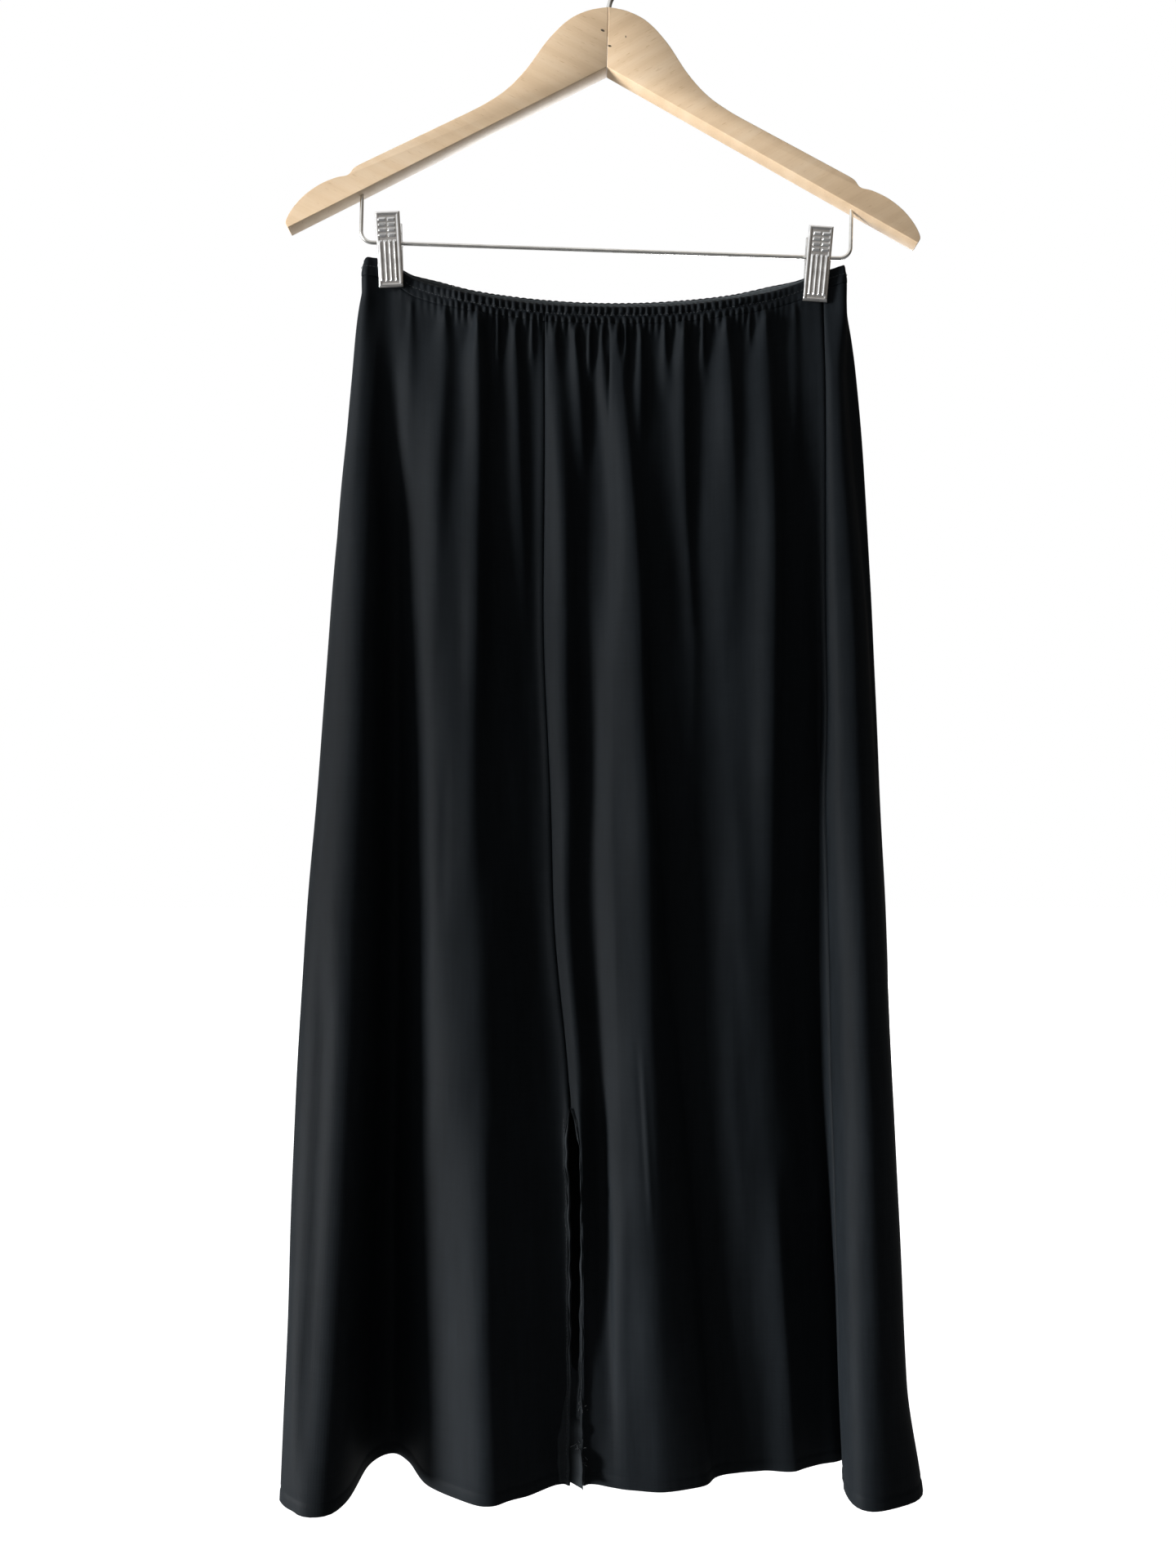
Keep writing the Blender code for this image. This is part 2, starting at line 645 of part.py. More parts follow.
def build_slit_hem(name, into, collection):
    """Build the narrow turned hem on one side of the slit, lying on its panel."""
    slit = FOLD_INDEX["centre_seam"]
    mesh = bmesh.new()
    start, end = sorted((float(slit), slit_hem_place(slit, into)))
    drops = [drop for drop in PLAIN_DROPS if drop >= SLIT_TOP_DROP]

    def row(drop, out):
        return add_line(mesh, (start, end), lambda place: cloth_point(
            place, drop, out, slit_slide(place, drop, slit, into)))

    outer = [row(drop, SEAM_GAP + SLIT_HEM_WALL) for drop in drops]
    inner = [row(drop, SEAM_GAP) for drop in drops]
    close_wall(mesh, outer, inner, drops, drops)
    return finish_mesh(name, mesh, CLOTH, collection)


def piece_spans():
    """Return where each panel starts and ends around the skirt."""
    left = FOLD_INDEX["left_side_seam"] - len(FOLDS)
    centre = FOLD_INDEX["centre_seam"]
    right = FOLD_INDEX["side_seam"]
    return {
        "front_left": (left, centre),
        "front_right": (centre, right),
        "back": (right, left + len(FOLDS)),
    }


def build_skirt(collection):
    """Build every piece of the skirt."""
    for side, (start, end) in piece_spans().items():
        build_panel(f"panel_{side}", start, end, collection)
        build_casing(f"casing_{side}", start, end, collection)
    build_elastic(collection)
    build_slit_hem("slit_hem_left", -1, collection)
    build_slit_hem("slit_hem_right", 1, collection)


def mesh_from_curve(curve_object, collection):
    """Turn a curve object into a mesh object at the same place, with its caps closed."""
    evaluated = curve_object.evaluated_get(bpy.context.evaluated_depsgraph_get())
    data = bpy.data.meshes.new_from_object(evaluated)
    mesh = bmesh.new()
    mesh.from_mesh(data)
    bmesh.ops.remove_doubles(mesh, verts=mesh.verts, dist=0.00001)
    bmesh.ops.recalc_face_normals(mesh, faces=mesh.faces)
    mesh.to_mesh(data)
    mesh.free()
    name = curve_object.name
    place = curve_object.matrix_world.copy()
    bpy.data.objects.remove(curve_object)
    solid = bpy.data.objects.new(name, data)
    collection.objects.link(solid)
    solid.matrix_world = place
    return solid


def outline_curve(name, points, thickness, collection):
    """Add a flat outline in X and Z, filled and as thick as given along Y."""
    data = bpy.data.curves.new(name, "CURVE")
    data.dimensions = "2D"
    data.fill_mode = "BOTH"
    data.extrude = thickness / 2 * MM
    spline = data.splines.new("POLY")
    spline.points.add(len(points) - 1)
    for target, (across, up) in zip(spline.points, points):
        target.co = (across * MM, up * MM, 0.0, 1.0)
    spline.use_cyclic_u = True
    piece = bpy.data.objects.new(name, data)
    collection.objects.link(piece)
    piece.rotation_euler = (math.radians(90.0), 0.0, 0.0)
    bpy.context.view_layer.update()
    return piece


def wire(name, points, radius, collection):
    """Add a round wire with closed ends along a line of points, as a mesh."""
    data = bpy.data.curves.new(name, "CURVE")
    data.dimensions = "3D"
    data.bevel_depth = radius * MM
    data.bevel_resolution = 2
    data.use_fill_caps = True
    spline = data.splines.new("POLY")
    spline.points.add(len(points) - 1)
    for target, point in zip(spline.points, points):
        target.co = (point[0] * MM, point[1] * MM, point[2] * MM, 1.0)
    piece = bpy.data.objects.new(name, data)
    collection.objects.link(piece)
    bpy.context.view_layer.update()
    return mesh_from_curve(piece, collection)


def cutter_cylinder(name, centre, radius, length, axis, cutters):
    """Add a hidden cylinder that other pieces are cut by."""
    turns = {"X": (0.0, math.radians(90.0), 0.0), "Z": (0.0, 0.0, 0.0)}
    bpy.ops.mesh.primitive_cylinder_add(
        vertices=16, radius=radius * MM, depth=length * MM,
        location=[value * MM for value in centre], rotation=turns[axis])
    cutter = bpy.context.object
    cutter.name = name
    hide_cutter(cutter, cutters)
    return cutter


def hide_cutter(cutter, cutters):
    """Keep a cutter out of the model and show it as wires."""
    for collection in list(cutter.users_collection):
        collection.objects.unlink(cutter)
    cutters.objects.link(cutter)
    cutter.hide_render = True
    cutter.display_type = "WIRE"


def cut(piece, cutter):
    """Cut a piece by a cutter."""
    modifier = piece.modifiers.new(cutter.name, "BOOLEAN")
    modifier.operation = "DIFFERENCE"
    modifier.solver = "EXACT"
    modifier.object = cutter


def arm_outline():
    """Return the hanger's right half from its top round to its underside."""
    hump = smooth_line([(0.0, -50.0), (14.0, -52.8), (28.0, -60.0), (42.0, -74.5),
                        (56.0, -94.5), (70.0, -109.5), (86.0, -120.5), (104.0, -130.0)], 2)
    end = smooth_line([(166.0, -161.5), (174.0, -166.0), (178.5, -171.2), (187.0, -173.4),
                       (198.0, -178.4), (208.5, -186.2), (216.5, -195.5), (221.0, -204.5),
                       (219.5, -209.0)], 2)
    return hump + end


def build_wood(tip, collection, cutters):
    """Build the two arms as one rounded plate, parted at the mitre."""
    right = arm_outline()
    left = [(-x, z) for x, z in reversed(right[1:])]
    plate_curve = outline_curve("hanger_plate", [*right, (0.0, UNDERSIDE_TOP), *left],
                                WOOD_THICKNESS, cutters)
    plate = mesh_from_curve(plate_curve, cutters)
    rounding = plate.modifiers.new("soft_edges", "BEVEL")
    rounding.width = WOOD_EDGE_RADIUS * MM
    rounding.segments = 2
    rounding.limit_method = "ANGLE"
    rounding.angle_limit = math.radians(50.0)
    whole = bpy.data.meshes.new_from_object(
        plate.evaluated_get(bpy.context.evaluated_depsgraph_get()))
    whole.transform(plate.matrix_world)
    bpy.data.objects.remove(plate)
    hook_bore = cutter_cylinder("hook_bore", (0.0, 0.0, WOOD_TOP - HOOK_SEAT_DEPTH / 2 + 2.0),
                                HOOK_WIRE_RADIUS + BORE_CLEARANCE, HOOK_SEAT_DEPTH + 4.0,
                                "Z", cutters)
    hook_bore.parent = tip
    for side, name, x in ((-1, "hanger_arm_left", BAR_LEFT), (1, "hanger_arm_right", BAR_RIGHT)):
        mesh = bmesh.new()
        mesh.from_mesh(whole)
        cut_away = bmesh.ops.bisect_plane(
            mesh, geom=[*mesh.verts, *mesh.edges, *mesh.faces], dist=0.000001,
            plane_co=(side * MITRE_GAP / 2 * MM, 0.0, 0.0), plane_no=(-side, 0.0, 0.0),
            clear_outer=True)
        rim = [item for item in cut_away["geom_cut"] if isinstance(item, bmesh.types.BMEdge)]
        bmesh.ops.contextual_create(mesh, geom=rim)
        arm = finish_mesh(name, mesh, WOOD, collection)
        arm.parent = tip
        underside = UNDERSIDE_TOP + UNDERSIDE_SLOPE * abs(x)
        bore = cutter_cylinder(f"{name}_bore", (x, 0.0, underside),
                               BAR_WIRE_RADIUS + BORE_CLEARANCE, 2 * BAR_SEAT_DEPTH,
                               "Z", cutters)
        bore.parent = tip
        cut(arm, hook_bore)
        cut(arm, bore)
    bpy.data.meshes.remove(whole)


def arc(centre, radius, start, end, steps):
    """Return points in X and Z along an arc."""
    angles = [start + (end - start) * step / steps for step in range(steps + 1)]
    return [(centre[0] + radius * math.cos(a), 0.0, centre[1] + radius * math.sin(a))
            for a in angles]


def build_hook(tip, collection):
    """Build the hook: a stem set in the mitre and a round crook over the origin."""
    centre = (0.0, HOOK_WIRE_RADIUS - HOOK_RADIUS)
    crook = arc(centre, HOOK_RADIUS, HOOK_START, HOOK_END, 18)
    foot = WOOD_TOP - HOOK_SEAT_DEPTH + BORE_CLEARANCE
    stem = smooth_line([(0.0, 0.0, WOOD_TOP + 2.0), (1.8, 0.0, WOOD_TOP + 9.0),
                        (6.5, 0.0, WOOD_TOP + 15.0), crook[0]], 3)
    hook = wire("hanger_hook", [(0.0, 0.0, foot), *stem[:-1], *crook],
                HOOK_WIRE_RADIUS, collection)
    finish_wire(hook, tip)


def finish_wire(piece, parent):
    """Give a wire its steel and hang it on its parent."""
    piece.data.materials.clear()
    piece.data.materials.append(material(f"{piece.name}_finish", STEEL))
    piece.data.shade_smooth()
    piece.parent = parent


def build_bar(tip, collection):
    """Build the wire bar: two legs set in the wood and a straight run between them."""
    slope = math.atan2(BAR_RIGHT_HEIGHT - BAR_LEFT_HEIGHT, BAR_RIGHT - BAR_LEFT)
    down = math.radians(180.0)
    left_centre = (BAR_LEFT + BAR_CORNER_RADIUS, BAR_LEFT_HEIGHT + BAR_CORNER_RADIUS)
    right_centre = (BAR_RIGHT - BAR_CORNER_RADIUS, BAR_RIGHT_HEIGHT + BAR_CORNER_RADIUS)
    left_top = UNDERSIDE_TOP + UNDERSIDE_SLOPE * abs(BAR_LEFT) + BAR_SEAT_DEPTH - 1.0
    right_top = UNDERSIDE_TOP + UNDERSIDE_SLOPE * abs(BAR_RIGHT) + BAR_SEAT_DEPTH - 1.0
    points = [(BAR_LEFT, 0.0, left_top)]
    points += arc(left_centre, BAR_CORNER_RADIUS, down, down * 1.5 + slope, 5)
    points += arc(right_centre, BAR_CORNER_RADIUS, down * 1.5 + slope, down * 2, 5)
    points.append((BAR_RIGHT, 0.0, right_top))
    bar = wire("hanger_bar", points, BAR_WIRE_RADIUS, collection)
    finish_wire(bar, tip)


def bar_height(x):
    """Return the bar's height at an x, in the hanger's own frame."""
    share = (x - BAR_LEFT) / (BAR_RIGHT - BAR_LEFT)
    return BAR_LEFT_HEIGHT + (BAR_RIGHT_HEIGHT - BAR_LEFT_HEIGHT) * share


def clip_outline(face_to_bar):
    """Return a leaf's side: depth behind its face, and height from the bar."""
    lug = arc((face_to_bar, 0.0), CLIP_LUG_RADIUS, math.radians(-80.0), math.radians(80.0), 5)
    return [
        (0.0, CLIP_BOTTOM), (CLIP_LIP, CLIP_BOTTOM), (CLIP_LIP, -17.0), (4.5, -7.5),
        *[(depth, height) for depth, _, height in lug],
        (4.6, 6.5), (2.6, 12.0), (2.2, CLIP_TOP), (0.0, CLIP_TOP),
    ]


def build_leaf(name, clip, facing, width, place, collection, cutters):
    """Build one leaf of a clip: a face, two side walls with lugs, and a lip at each end.

    Args:
        name: The leaf's name.
        clip: The clip that it belongs to.
        facing: -1 for the front leaf, and 1 for the back leaf.
        width: The leaf's width.
        place: The bar's point that the clip turns on.
        collection: The model's collection.
        cutters: The cutters' collection.
    """
    spread = math.atan2(CLIP_TOP_FACE - CLIP_BOTTOM_FACE, CLIP_TOP - CLIP_BOTTOM)
    face_to_bar = CLIP_BOTTOM_FACE - CLIP_BOTTOM * math.tan(spread)
    inner = [(CLIP_SHEET, CLIP_BOTTOM + CLIP_SHEET), (CLIP_WIDTH, CLIP_BOTTOM + CLIP_SHEET),
             (CLIP_WIDTH, CLIP_TOP - CLIP_SHEET), (CLIP_SHEET, CLIP_TOP - CLIP_SHEET)]
    leaf = mesh_from_curve(
        outline_curve(name, clip_outline(face_to_bar), width, collection), collection)
    hollow = mesh_from_curve(
        outline_curve(f"{name}_hollow", inner, width - 2 * CLIP_SHEET, cutters), cutters)
    turn = Matrix.Rotation(math.radians(90.0 * -facing), 4, "Z")
    offset = Matrix.Translation((0.0, facing * face_to_bar * MM, 0.0))
    open_up = Matrix.Rotation(-facing * spread, 4, "X")
    lean = Matrix.Rotation(clip.lean, 4, "Y")
    placed = Matrix.Translation([value * MM for value in place])
    for solid in (leaf, hollow):
        solid.matrix_world = placed @ lean @ open_up @ offset @ turn @ solid.matrix_world
    hide_cutter(hollow, cutters)
    bore = cutter_cylinder(f"{name}_bore", place, BAR_WIRE_RADIUS + BORE_CLEARANCE,
                           2 * CLIP_WIDTH, "X", cutters)
    bore.rotation_euler = (0.0, math.radians(90.0) + HANGER_TIP, 0.0)
    cut(leaf, hollow)
    cut(leaf, bore)
    leaf.data.materials.clear()
    leaf.data.materials.append(material(f"{name}_finish", STEEL))


def build_spring(name, place, collection):
    """Build the spring's coil round the bar, as a turned ring."""
    inner = BAR_WIRE_RADIUS + BORE_CLEARANCE
    half = SPRING_WIDTH / 2
    profile = [(SPRING_RADIUS, half), (SPRING_RADIUS, -half), (inner, -half), (inner, half)]
    mesh = bmesh.new()
    corners = [mesh.verts.new((radius * MM, 0.0, height * MM)) for radius, height in profile]
    for index, corner in enumerate(corners):
        mesh.edges.new((corner, corners[(index + 1) % len(corners)]))
    data = bpy.data.meshes.new(name)
    mesh.to_mesh(data)
    mesh.free()
    spring = add_object(name, data, STEEL, collection)
    screw = spring.modifiers.new("turned", "SCREW")
    screw.steps = 16
    screw.render_steps = 16
    screw.use_merge_vertices = True
    screw.merge_threshold = 0.00001
    spring.location = [value * MM for value in place]
    spring.rotation_euler = (0.0, math.radians(90.0) + HANGER_TIP, 0.0)


def build_clips(collection, cutters):
    """Build the two clips on the bar, leaning as the waist pulls them."""
    tip = Matrix.Rotation(HANGER_TIP, 4, "Y")
    for clip in CLIPS:
        along = clip.x / math.cos(HANGER_TIP)
        along -= math.tan(HANGER_TIP) * bar_height(along)
        place = tip @ Vector((along, 0.0, bar_height(along)))
        build_leaf(f"{clip.name}_front_leaf", clip, -1, CLIP_WIDTH, place, collection, cutters)
        build_leaf(f"{clip.name}_back_leaf", clip, 1, CLIP_BACK_WIDTH, place, collection, cutters)
        build_spring(f"{clip.name}_spring", place, collection)


def main():
    """Build the skirt and the hanger."""
    for old in list(bpy.data.objects):
        bpy.data.objects.remove(old)
    collection = bpy.data.collections.new(PART_NAME)
    cutters = bpy.data.collections.new("cutters")
    bpy.context.scene.collection.children.link(collection)
    bpy.context.scene.collection.children.link(cutters)
    tip = bpy.data.objects.new("hanger_tip", None)
    collection.objects.link(tip)
    tip.rotation_euler = (0.0, HANGER_TIP, 0.0)
    build_skirt(collection)
    build_wood(tip, collection, cutters)
    build_hook(tip, collection)
    build_bar(tip, collection)
    build_clips(collection, cutters)
    bpy.context.view_layer.update()


main()
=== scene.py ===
"""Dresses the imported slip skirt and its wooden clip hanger.

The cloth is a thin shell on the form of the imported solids: the same long folds, with finer gathers,
tucks below the waist, creases, seams, hems and stitches. The hanger gets rounded arms, a round hook
and bar, and clips with pressed ribs, flutes and coiled springs.

Tables hold millimetres. +X is to the right of someone who faces the front, -Y is the front and +Z is
up, and the origin is the inside top of the hook. A drop is a length down the cloth from its waist.
"""

from __future__ import annotations

import logging
import math
from collections.abc import Iterator
from contextlib import contextmanager
from dataclasses import dataclass
from enum import Enum

import bpy
import numpy as np
from mathutils import Matrix, Vector


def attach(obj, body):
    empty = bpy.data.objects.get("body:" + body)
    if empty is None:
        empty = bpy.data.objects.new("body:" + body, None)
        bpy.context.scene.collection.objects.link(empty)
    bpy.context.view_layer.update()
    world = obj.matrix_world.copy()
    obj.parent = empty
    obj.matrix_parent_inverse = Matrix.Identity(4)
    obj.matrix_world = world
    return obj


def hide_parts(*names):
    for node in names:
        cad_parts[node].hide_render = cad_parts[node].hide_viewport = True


MM = 0.001
WHITE = (1.0, 1.0, 1.0)
THREAD_WAVE = 0.314  # the wave texture's scale at which one band is one unit wide
CASING_THREAD = 0.16
SLIT_THREAD = 0.15
FRAYED_THREAD = 0.09
BODY = "root"
LOG = logging.getLogger("slip_skirt")
Triple = tuple[float, float, float]
Array = np.ndarray
NodeSocket = bpy.types.NodeSocket
Material = bpy.types.Material
Mesh = bpy.types.Mesh

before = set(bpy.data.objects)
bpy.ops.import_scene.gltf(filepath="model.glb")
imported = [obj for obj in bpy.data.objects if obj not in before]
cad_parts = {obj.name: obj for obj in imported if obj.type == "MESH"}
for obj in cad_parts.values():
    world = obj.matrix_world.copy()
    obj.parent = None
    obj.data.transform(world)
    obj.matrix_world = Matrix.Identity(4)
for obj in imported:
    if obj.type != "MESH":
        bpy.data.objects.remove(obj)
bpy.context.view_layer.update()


class Held(Enum):
    """How a sheet of cloth is held."""

    GATHERED = "gathered"
    STRETCHED = "stretched"


class Side(Enum):
    """Which way a clip's leaf faces."""

    FRONT = -1
    BACK = 1


@dataclass(frozen=True)
class Fold:
    """The line of one long fold, seen from above, as x and y at each level."""

    name: str
    waist_x: float
    top: tuple[float, float]
    hip: tuple[float, float]
    knee: tuple[float, float]
    hem: tuple[float, float]


@dataclass(frozen=True)
class Ridge:
    """A soft ridge that fans out of the front gathers, or a trough where its height is negative.

    Its line holds x at each of RIDGE_LEVELS, as far down as it bends.
    """

    line: tuple[float, ...]
    left: float
    right: float
    height: float
    start: float
    end: float


@dataclass(frozen=True)
class Crease:
    """A long soft crease on the front, from one point to another."""

    top_x: float
    top_drop: float
    bottom_x: float
    bottom_drop: float
    width: float
    height: float


@dataclass(frozen=True)
class Sway:
    """How far the front's folds lean sideways near a point."""

    x: float
    drop: float
    width: float
    length: float
    shift: float


@dataclass(frozen=True)
class SlitEdge:
    """How far each edge of the slit lies from its middle line at a drop."""

    drop: float
    left: float
    right: float


@dataclass(frozen=True)
class SlitSide:
    """The cloth beside one edge of the slit: how it curls, and the size of its turned hem."""

    hem_width: float
    foot_flare: float
    foot_tongue: float
    roll_height: float
    roll_crest: float
    roll_width: float
    lip_share: float


FRONT_FOLDS = (
    Fold("left_edge", -174.0, (-181.5, 2), (-196.3, -2), (-214.3, -12), (-222.6, -30)),
    Fold("left_tube", -170.4, (-174.5, -6), (-183.0, -13), (-193.0, -28), (-206.0, -44)),
    Fold("left_slope", -163.5, (-165.0, -6), (-170.0, -12), (-172.4, -19), (-180.0, -31)),
    Fold("first_valley_in", -155.0, (-158.0, -4), (-160.2, 1), (-163.5, 9), (-170.6, 13)),
    Fold("first_valley", -147.0, (-149.4, -3), (-149.3, 6), (-150.1, 18), (-155.0, 27)),
    Fold("first_valley_out", -137.5, (-139.4, -6), (-137.7, -2), (-136.0, 4), (-137.0, 16)),
    Fold("second_crest_in", -122.0, (-124.2, -9), (-121.4, -13), (-118.1, -17), (-120.0, -14)),
    Fold("second_crest", -104.0, (-106.0, -10), (-98.6, -16), (-90.0, -26), (-89.0, -33)),
    Fold("second_slope", -84.0, (-85.8, -8), (-76.7, -9), (-66.0, -17), (-60.0, -25)),
    Fold("seam_valley", -59.0, (-59.8, -6), (-55.4, -3), (-43.0, -9), (-38.0, -12)),
    Fold("centre_seam", -45.5, (-45.5, -7), (-45.6, -4), (-27.9, -10), (-25.6, -9)),
    Fold("seam_ridge", -31.0, (-31.3, -10), (-31.2, -11), (-20.0, -12), (-15.0, -10)),
    Fold("ridge_valley", -14.0, (-14.3, -7), (-16.5, -4), (-8.0, -6), (-2.0, -13)),
    Fold("third_crest_in", 3.0, (2.7, -11), (1.5, -14), (7.0, -16), (15.0, -17)),
    Fold("third_crest", 19.0, (18.5, -12), (21.6, -17), (28.0, -21), (37.0, -20)),
    Fold("third_slope", 37.0, (36.8, -9), (38.5, -9), (48.1, -9), (66.0, -12)),
    Fold("third_valley", 56.0, (56.2, -7), (57.0, -4), (67.1, 0), (86.0, 2)),
    Fold("fourth_crest_in", 79.0, (79.2, -10), (82.1, -9), (88.3, -5), (108.0, 6)),
    Fold("fourth_crest", 103.0, (104.8, -9), (111.0, -10), (114.6, -4), (135.0, 8)),
    Fold("side_valley_in", 127.0, (131.0, -5), (134.8, -1), (137.7, 10), (159.0, 19)),
    Fold("side_valley", 141.5, (143.5, -5), (146.4, 3), (153.0, 18), (175.0, 27)),
    Fold("side_seam", 149.3, (150.0, -6), (150.9, -2), (158.5, 0), (165.0, -10)),
    Fold("right_tube_in", 154.5, (155.0, -8), (157.5, -10), (163.0, -17), (167.5, -33)),
    Fold("right_tube", 160.5, (161.0, -7), (169.0, -12), (174.0, -26), (181.0, -39)),
    Fold("right_slope", 164.3, (165.0, -2), (178.5, -4), (189.0, -17), (200.0, -30)),
    Fold("right_tuck", 166.0, (168.0, 3), (183.0, 5), (196.5, -4), (207.0, -15)),
    Fold("right_edge", 163.2, (175.5, 10), (188.1, 14), (197.0, 10), (204.0, 8)),
)
BACK_FOLDS = (
    Fold("back_right", 153.0, (167.0, 16), (177.0, 26), (185.0, 31), (193.0, 36)),
    Fold("back_first_in", 139.0, (149.0, 13), (158.0, 26), (165.0, 42), (172.0, 59)),
    Fold("back_first_crest", 122.0, (130.0, 13), (137.0, 24), (141.0, 43), (146.0, 66)),
    Fold("back_first_out", 103.0, (110.0, 11), (115.0, 18), (118.0, 31), (122.0, 47)),
    Fold("back_first_valley", 86.0, (92.0, 9), (97.0, 11), (101.0, 18), (105.0, 28)),
    Fold("back_second_in", 67.0, (71.0, 12), (74.0, 19), (77.0, 32), (81.0, 46)),
    Fold("back_second_crest", 45.0, (47.0, 15), (47.0, 29), (46.0, 50), (44.0, 75)),
    Fold("back_second_out", 25.0, (25.0, 12), (22.0, 22), (18.0, 38), (12.0, 56)),
    Fold("back_second_valley", 6.0, (5.0, 10), (2.0, 14), (-4.0, 26), (-11.0, 42)),
    Fold("back_third_in", -12.0, (-13.0, 12), (-16.0, 19), (-23.0, 33), (-31.0, 50)),
    Fold("back_third_crest", -31.0, (-33.0, 13), (-37.0, 25), (-44.0, 42), (-53.0, 61)),
    Fold("back_third_out", -46.0, (-50.0, 11), (-57.0, 18), (-65.0, 30), (-74.0, 44)),
    Fold("back_third_valley", -60.0, (-67.0, 10), (-80.0, 13), (-92.0, 23), (-100.0, 36)),
    Fold("back_fourth_in", -74.0, (-83.0, 11), (-103.0, 21), (-122.0, 36), (-129.0, 55)),
    Fold("back_fourth_crest", -87.0, (-98.0, 13), (-126.0, 28), (-155.0, 47), (-163.0, 68)),
    Fold("back_fourth_out", -99.0, (-112.0, 13), (-147.0, 27), (-187.0, 32), (-194.0, 43)),
    Fold("left_side_seam", -111.0, (-126.0, 12), (-164.0, 20), (-206.0, 12), (-213.0, 11)),
    Fold("back_left", -131.0, (-145.0, 10), (-177.0, 14), (-212.0, 3), (-219.5, -5)),
    Fold("back_left_out", -151.0, (-163.0, 8), (-188.0, 9), (-214.5, -3), (-222.0, -16)),
    Fold("left_edge_back", -168.0, (-177.0, 6), (-195.0, 4), (-215.5, -8), (-222.8, -24)),
)
FOLDS = FRONT_FOLDS + BACK_FOLDS

RIDGE_LEVELS = (25.0, 104.0, 241.0, 467.0, 694.0)
RIDGES = (
    Ridge((-139.0, -140.0), 4.6, 4.0, 4.2, 13.0, 100.0),
    Ridge((-114.5, -117.6, -122.2), 11.0, 6.5, 3.8, 13.0, 300.0),
    Ridge((-91.2, -91.6, -92.6, -96.0), 8.0, 7.0, 6.0, 13.0, 470.0),
    Ridge((-77.9, -79.0), 3.4, 3.0, 2.5, 13.0, 72.0),
    Ridge((-65.9, -63.7, -60.0), 7.0, 5.0, 3.0, 13.0, 290.0),
    Ridge((-54.3,), 3.2, 3.0, 1.6, 13.0, 56.0),
    Ridge((-38.7, -35.8, -28.5), 7.0, 6.0, 2.4, 13.0, 260.0),
    Ridge((-24.5, -19.4, -19.0), 5.0, 4.5, 3.2, 13.0, 150.0),
    Ridge((-14.6,), 3.2, 3.0, 2.8, 13.0, 66.0),
    Ridge((-5.8, -3.0), 4.0, 3.0, 2.0, 13.0, 86.0),
    Ridge((3.9, 13.5, 20.0, 30.0, 36.2), 12.0, 5.5, 3.8, 13.0, 700.0),
    Ridge((10.8,), 3.0, 3.0, 2.8, 13.0, 60.0),
    Ridge((21.3, 20.0, 18.0), 4.5, 3.5, 2.8, 13.0, 130.0),
    Ridge((37.7, 40.0), 4.5, 4.0, 2.4, 13.0, 76.0),
    Ridge((50.7, 50.5, 58.0), 8.0, 6.0, 4.8, 13.0, 400.0),
    Ridge((64.1,), 4.0, 3.5, 2.6, 13.0, 66.0),
    Ridge((80.5, 84.0, 84.0), 9.0, 6.0, 3.4, 13.0, 270.0),
    Ridge((96.4,), 3.0, 3.0, 1.6, 13.0, 46.0),
    Ridge((109.2, 108.4, 114.1, 109.7, 116.7), 10.0, 6.0, 6.2, 13.0, 600.0),
    Ridge((129.1, 128.0), 5.0, 4.5, 4.2, 13.0, 150.0),
    Ridge((154.9, 159.5), 5.0, 4.0, 1.2, 13.0, 190.0),
    Ridge((-0.6, -0.4), 1.1, 1.1, -1.1, 14.0, 100.0),
    Ridge((-14.0, -4.0, -5.0, -10.0), 9.0, 8.0, -3.4, 50.0, 400.0),
    Ridge((-168.0, -168.0, -168.6, -173.0, -182.0), 13.0, 9.0, 6.6, 110.0, 1600.0),
    Ridge((-174.0, -178.0, -189.0, -206.0, -213.5), 5.0, 9.0, 2.2, 110.0, 1600.0),
    Ridge((-196.0, -196.0, -196.0, -195.5, -201.0), 6.0, 7.0, -2.8, 440.0, 1600.0),
    Ridge((-88.0, -88.0, -88.0, -88.0, -84.5), 14.0, 7.0, 2.4, 560.0, 1300.0),
    Ridge((-20.0, -18.0, -14.0, -9.0, -2.6), 9.0, 3.5, -3.2, 520.0, 880.0),
    Ridge((112.0, 112.0, 112.0, 112.0, 119.0), 12.0, 6.0, 2.6, 600.0, 1200.0),
    Ridge((27.0, 27.0, 28.0, 46.0, 66.0), 6.0, 8.0, -5.0, 190.0, 1300.0),
    Ridge((45.0, 45.0, 48.0, 64.0, 81.0), 11.0, 12.0, 2.8, 190.0, 1000.0),
    Ridge((141.0, 143.0, 145.0, 149.0, 157.0), 15.0, 12.0, 5.2, 300.0, 1400.0),
)
CREASES = (
    Crease(20.5, 512.0, 29.0, 668.0, 2.0, 0.8),
    Crease(17.0, 500.0, 25.5, 650.0, 2.2, -0.5),
    Crease(-193.0, 465.0, -195.5, 525.0, 2.2, 0.8),
    Crease(-113.0, 300.0, -115.0, 470.0, 3.6, -0.4),
    Crease(84.0, 300.0, 96.0, 520.0, 7.0, 0.9),
    Crease(10.0, 600.0, 4.0, 800.0, 6.0, 0.9),
    Crease(-155.0, -60.0, -155.0, 170.0, 8.0, -2.2),
)
SWAYS = (
    Sway(-34.0, 452.0, 26.0, 85.0, -5.2),
    Sway(-134.0, 745.0, 22.0, 290.0, -7.0),
)
SLIT_SIDES = {
    -1: SlitSide(3.0, 7.0, 8.0, 1.5, 1.6, 2.2, 1.0),
    1: SlitSide(5.2, 3.4, 0.6, 2.6, 6.4, 3.0, 0.6),
}
